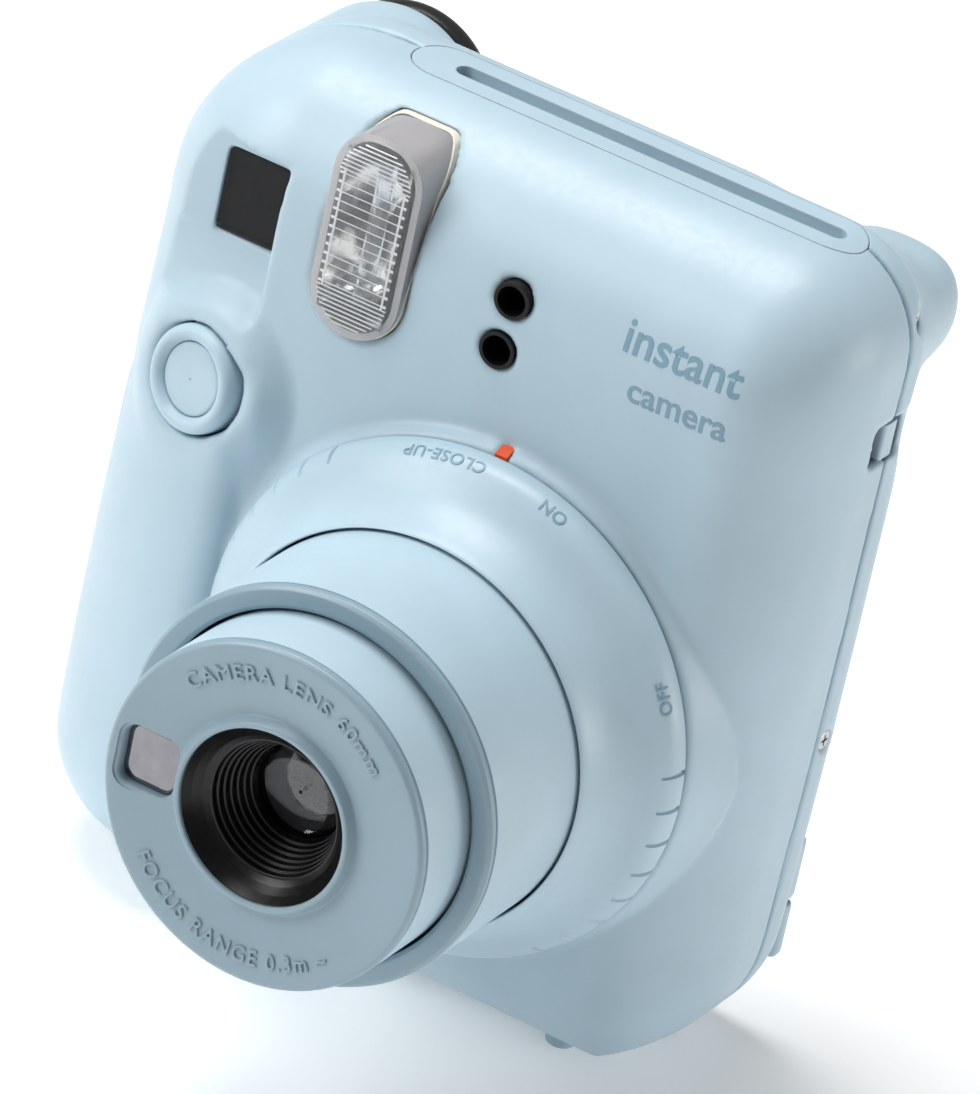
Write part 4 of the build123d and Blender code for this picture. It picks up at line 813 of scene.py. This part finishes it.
def flash_shell():
    """Clear front of the flash and its frosted side wall."""
    front, edge = FL_FRONT, 1.7
    rings = [stadium(1.05, front + 1.2), stadium(0.0, front + 2.1), stadium(0.0, front + edge)]
    for s in range(1, 9):
        a = math.radians(90 * s / 8)
        rings.append(stadium(edge * (1 - math.cos(a)), front + edge * (1 - math.sin(a))))
    rings.append(stadium(4.2, front))
    co, faces = stacked(rings)
    piece("flash_front_pane", co, faces, "body", "clear_window", ("flash_window",), 50.0)
    start = front + 2.15
    ends = ((1.0, FL_BACK), (0.0, FL_BACK), (0.0, start), (1.0, start))
    co, faces = looped([stadium(inset, y) for inset, y in ends])
    piece("flash_side_wall", co, faces, "body", "frosted", (), 50.0)


def bar(co, faces, a, b, half, y, depth=0.12):
    """Append one fine moulded rib from a to b in (x, z) with a ridged top."""
    d = np.array(b) - np.array(a)
    side = np.array([-d[1], d[0]]) / np.linalg.norm(d) * half
    start = len(co)
    for p in (np.array(a), np.array(b)):
        for s, dy in ((-1, 0.0), (-0.5, -depth), (0.5, -depth), (1, 0.0)):
            q = p + side * s
            co.append((q[0], y + dy, q[1]))
    faces += [(start + i, start + (i + 1) % 4, start + 4 + (i + 1) % 4, start + 4 + i) for i in range(4)]
    faces += [(start + 3, start + 2, start + 1, start), (start + 4, start + 5, start + 6, start + 7)]


def chord(z, inset):
    """Half width of the flash outline at height z, drawn in by inset."""
    r = FL_R - inset
    low, high = FL_Z[0] + FL_R, FL_Z[1] - FL_R
    d = max(low - z, z - high, 0.0)
    return math.sqrt(max(r * r - d * d, 0.0))


def flash_ribs():
    """Fine cross ribs, closer together at both ends, and the stepped side lines."""
    co, faces = [], []
    y = FL_FRONT + 1.5
    low, high = FL_Z[0] + FL_R - 0.6, FL_Z[1] - FL_R + 0.4
    for z in np.arange(low + 0.6, high, 1.30):
        bar(co, faces, (FL_X - 4.4, z), (FL_X + 4.4, z), 0.07, y)
    for z in [*np.arange(FL_Z[0] + 1.7, low + 0.5, 0.62), *np.arange(high, FL_Z[1] - 1.4, 0.62)]:
        w = chord(z, 1.3)
        bar(co, faces, (FL_X - w, z), (FL_X + w, z), 0.10, y)
    for s in (-1, 1):
        bar(co, faces, (FL_X + 4.5 * s, low), (FL_X + 4.5 * s, high), 0.17, y)
        for z in np.arange(low + 0.6, high, 1.30):
            bar(co, faces, (FL_X + 4.55 * s, z), (FL_X + 5.15 * s, z), 0.2, y)
    piece("flash_ribs", co, faces, "body", "fresnel", (), 40.0)


def flash_reflector():
    """Crumpled foil trough with curved ends behind the tube."""
    rng = np.random.default_rng(7)
    nx, nz = 36, 76
    x = np.linspace(-1, 1, nx)
    z = np.linspace(-1, 1, nz)
    grid_x, grid_z = np.meshgrid(x, z)
    bowl = (1 - np.abs(grid_x) ** 2.4) ** 0.6 * (1 - np.abs(grid_z) ** 7) ** 0.6
    crumple = np.zeros_like(bowl)
    for _ in range(46):
        cx, cz, turn = rng.uniform(-1, 1), rng.uniform(-1, 1), rng.uniform(0, math.pi)
        line = (grid_x - cx) * math.cos(turn) + (grid_z - cz) * 2.0 * math.sin(turn)
        away = (grid_x - cx) ** 2 + (grid_z - cz) ** 2 * 3.0
        crumple += 0.22 * np.maximum(0, 1 - np.abs(line) * 4.0) * np.exp(-away * 7.0) * rng.choice((-1, 1))
    depth = np.maximum(bowl * 6.6 + crumple * (bowl > 0.05), 0.0)
    co = [(FL_X + 4.9 * grid_x[j, i], -1.9 + depth[j, i], 106.5 + 11.6 * grid_z[j, i])
          for j in range(nz) for i in range(nx)]
    faces = [(j * nx + i, j * nx + i + 1, (j + 1) * nx + i + 1, (j + 1) * nx + i)
             for j in range(nz - 1) for i in range(nx - 1)]
    piece("flash_reflector_foil", co, faces, "body", "reflector", ("flash_reflector",), 25.0)


# ---- eyepiece -----------------------------------------------------------------------------------
def eyepiece():
    """Soft rounded ring of the eyepiece."""
    outline = [(7.4, 44.75), (12.8, 44.75), (12.95, 46.4), (12.5, 48.2), (11.5, 49.3), (10.4, 49.7),
               (9.6, 49.5), (8.6, 48.4), (7.4, 46.4)]
    turned("eyepiece_cushion", outline, "body", "soft_black",
           ("eyepiece_ring",), 1.0, EYE_X, EYE_Z)


# ---- lettering ------------------------------------------------------------------------------------
def text_mesh(words, size, raise_mm=0.0, spacing=1.0, cuts=0):
    """Flat or raised lettering in millimetres, centred in X, baseline at 0."""
    curve = bpy.data.curves.new("lettering", "FONT")
    curve.body = words
    curve.size = size
    curve.align_x = "CENTER"
    curve.space_character = spacing
    curve.extrude = raise_mm / 2
    curve.resolution_u = 6
    curve.offset = 0.012 * size
    obj = bpy.data.objects.new("lettering", curve)
    bpy.context.scene.collection.objects.link(obj)
    bpy.context.view_layer.update()
    mesh = bpy.data.meshes.new_from_object(obj.evaluated_get(bpy.context.evaluated_depsgraph_get()))
    bpy.data.objects.remove(obj)
    if raise_mm:
        return rounded_text(mesh)
    bm = bmesh.new()
    bm.from_mesh(mesh)
    bmesh.ops.remove_doubles(bm, verts=bm.verts, dist=0.0005)
    bmesh.ops.triangulate(bm, faces=bm.faces)
    if cuts:
        long_edges = [e for e in bm.edges if e.calc_length() > size * 0.12]
        bmesh.ops.subdivide_edges(bm, edges=long_edges, cuts=cuts, use_grid_fill=False)
        bmesh.ops.triangulate(bm, faces=bm.faces)
    bm.to_mesh(mesh)
    bm.free()
    return mesh


def rounded_text(flat):
    """Extruded letters made of an even mesh with soft edges, all in millimetres."""
    flat.transform(Matrix.Scale(MM, 4))
    source = bpy.data.objects.new("text_source", flat)
    mesh = voxel_mesh(source, LETTER_VOXEL)
    bpy.data.objects.remove(source)
    co, edges = mesh_arrays(mesh)
    co = relax(co, edges, np.ones(len(co)), 3)
    mesh.vertices.foreach_set("co", co.ravel())
    return mesh


def lettering(name, mesh, place, body, mat, sharp=30.0):
    """Piece from a text mesh with every point moved by place(x, y, z)."""
    co = [place(*v.co) for v in mesh.vertices]
    faces = [tuple(p.vertices) for p in mesh.polygons]
    return piece(name, co, faces, body, mat, (), sharp)


def face_text(name, words, radius, middle, size, spacing, inwards):
    """Raised lettering round the lens face; inwards turns the tops to the middle."""
    mesh = text_mesh(words, size, 0.62, spacing)
    way = -1 if inwards else 1

    def place(x, y, z):
        a = math.radians(middle) + way * x / radius
        r = radius + way * y
        return LX + r * math.sin(a), FACE_Y + dish(r) - 0.02 - z, LZ + r * math.cos(a)

    lettering(name, mesh, place, "inner_lens", "lens_trim", 180.0)


def ring_profile(back):
    """Radius and Y of the mode ring's shoulder at a distance back from its front, along the curve."""
    pts = np.array([*SHOULDER, (35.6, -3.2)])
    run = np.concatenate([[0], np.cumsum(np.linalg.norm(np.diff(pts, axis=0), axis=1))])
    return float(np.interp(back, run, pts[:, 0])), float(np.interp(back, run, pts[:, 1]))


def ring_text(name, words, angle, size=2.5, back=6.2):
    """Print on the mode ring's shoulder, read from behind the camera."""
    mesh = text_mesh(words, size, 0.0, 1.08, 1)

    def place(x, y, _):
        r, yy = ring_profile(back - y)
        a = math.radians(angle) - x / 34.8
        lift = 0.05
        return LX + (r + lift) * math.sin(a), yy - lift, LZ + (r + lift) * math.cos(a)

    lettering(name, mesh, place, "mode_ring", "print", 180.0)


def front_print(name, words, x0, z0, size, spacing=1.0):
    """Flat print on the front of the body, laid on its curve."""
    mesh = text_mesh(words, size, 0.0, spacing, 2)

    def place(x, y, _):
        hit = BODY_TREE.ray_cast(Vector((x0 + x, -60.0, z0 + y)), Vector((0, 1, 0)))
        return x0 + x, hit[0].y - 0.05, z0 + y

    lettering(name, mesh, place, "body", "print", 180.0)


def all_lettering():
    """Generic words only: what the control and the lens are."""
    face_text("face_words_top", "CAMERA LENS 60mm", 18.35, 1.0, 3.0, 1.12, False)
    face_text("face_words_low", "FOCUS RANGE 0.3m ~ ∞", 20.75, 180.0, 3.0, 1.16, True)
    ring_text("ring_words_close", "CLOSE-UP", -10.0)
    ring_text("ring_words_on", "ON", 17.6)
    ring_text("ring_words_off", "OFF", 64.4)
    front_print("front_words_top", "instant", 31.6, 106.2, 6.4)
    front_print("front_words_low", "camera", 32.6, 100.0, 5.0)


# ---- CAD nodes that stay ----------------------------------------------------------------------------
def colour_nodes():
    """Give every remaining CAD node the material of its slot."""
    slots = {s["node"]: s["material_slot"] for s in frame["record"]["subparts"]}
    for name, obj in NODES.items():
        obj.data.materials.clear()
        obj.data.materials.append(MATS[slots[name]])


# ---- stage ----------------------------------------------------------------------------------------------
def floor():
    """Plain pale floor."""
    mat, nodes, links, shader = new_material("studio_paper")
    cloud = noise_node(nodes, links, 6.0)
    ramp = ramp_node(nodes, links, cloud.outputs["Fac"], (0.93, 0.93, 0.93), (0.95, 0.95, 0.95))
    links.new(ramp.outputs["Color"], shader.inputs["Base Color"])
    links.new(ramp.outputs["Color"], shader.inputs["Emission Color"])
    shader.inputs["Emission Strength"].default_value = 0.25
    shader.inputs["Roughness"].default_value = 0.8
    mesh = bpy.data.meshes.new("studio_floor")
    half = 3.0
    corners = [(-half, -half, 0), (half, -half, 0), (half, half, 0), (-half, half, 0)]
    mesh.from_pydata(corners, [], [(0, 1, 2, 3)])
    mesh.materials.append(mat)
    obj = bpy.data.objects.new("studio_floor", mesh)
    bpy.context.scene.collection.objects.link(obj)


CAM_RIGHT = Vector((0.8436, 0.5019, 0.1911))
CAM_UP = Vector((-0.3855, 0.3181, 0.8661))
CAM_BACK = Vector((0.3739, -0.8043, 0.4619))
CENTRE = Vector((0.0, 0.0, 0.061))


def camera():
    """Camera above and to the right of the front, rolled to the left."""
    data = bpy.data.cameras.new("camera")
    data.sensor_fit = "VERTICAL"
    data.sensor_height = 36.0
    data.lens = 329.07
    data.clip_end = 20.0
    obj = bpy.data.objects.new("camera", data)
    turn = Matrix((CAM_RIGHT, CAM_UP, CAM_BACK)).transposed()
    obj.matrix_world = Matrix.Translation(Vector((0.4925, -1.0358, 0.6665))) @ turn.to_4x4()
    bpy.context.scene.collection.objects.link(obj)
    bpy.context.scene.camera = obj


def soft_light(name, right, up, back, distance, size, power, tint=(1.0, 1.0, 1.0)):
    """Square soft box in a direction given along the camera's own axes."""
    away = (CAM_RIGHT * right + CAM_UP * up + CAM_BACK * back).normalized()
    data = bpy.data.lights.new(name, "AREA")
    data.shape = "SQUARE"
    data.size = size
    data.energy = power
    data.color = tint
    obj = bpy.data.objects.new(name, data)
    obj.location = CENTRE + away * distance
    obj.rotation_euler = away.to_track_quat("Z", "Y").to_euler()
    bpy.context.scene.collection.objects.link(obj)


def lights():
    """Large soft key from the upper left, a top light, a weak rim from the right, pale surroundings."""
    soft_light("key", -0.8, 0.7, 0.55, 1.2, 0.6, 7.5)
    soft_light("top", 0.0, 1.0, 0.3, 1.3, 0.7, 15.0)
    soft_light("rim", 1.0, -0.2, 0.05, 1.2, 0.5, 5.5)
    world = bpy.data.worlds.new("surroundings")
    world.use_nodes = True
    world.node_tree.nodes["Background"].inputs["Color"].default_value = (1.0, 1.0, 1.0, 1)
    world.node_tree.nodes["Background"].inputs["Strength"].default_value = 0.16
    bpy.context.scene.world = world
    bpy.context.scene.view_settings.view_transform = "Standard"


def build():
    """Everything, in order."""
    camera()
    colour_nodes()
    covers()
    mode_ring()
    barrels()
    lens_face()
    selfie_mirror()
    lens_funnel()
    glasses()
    release_button()
    flash_shell()
    flash_gasket()
    flash_ribs()
    flash_reflector()
    eyepiece()
    all_lettering()
    floor()
    lights()


build()
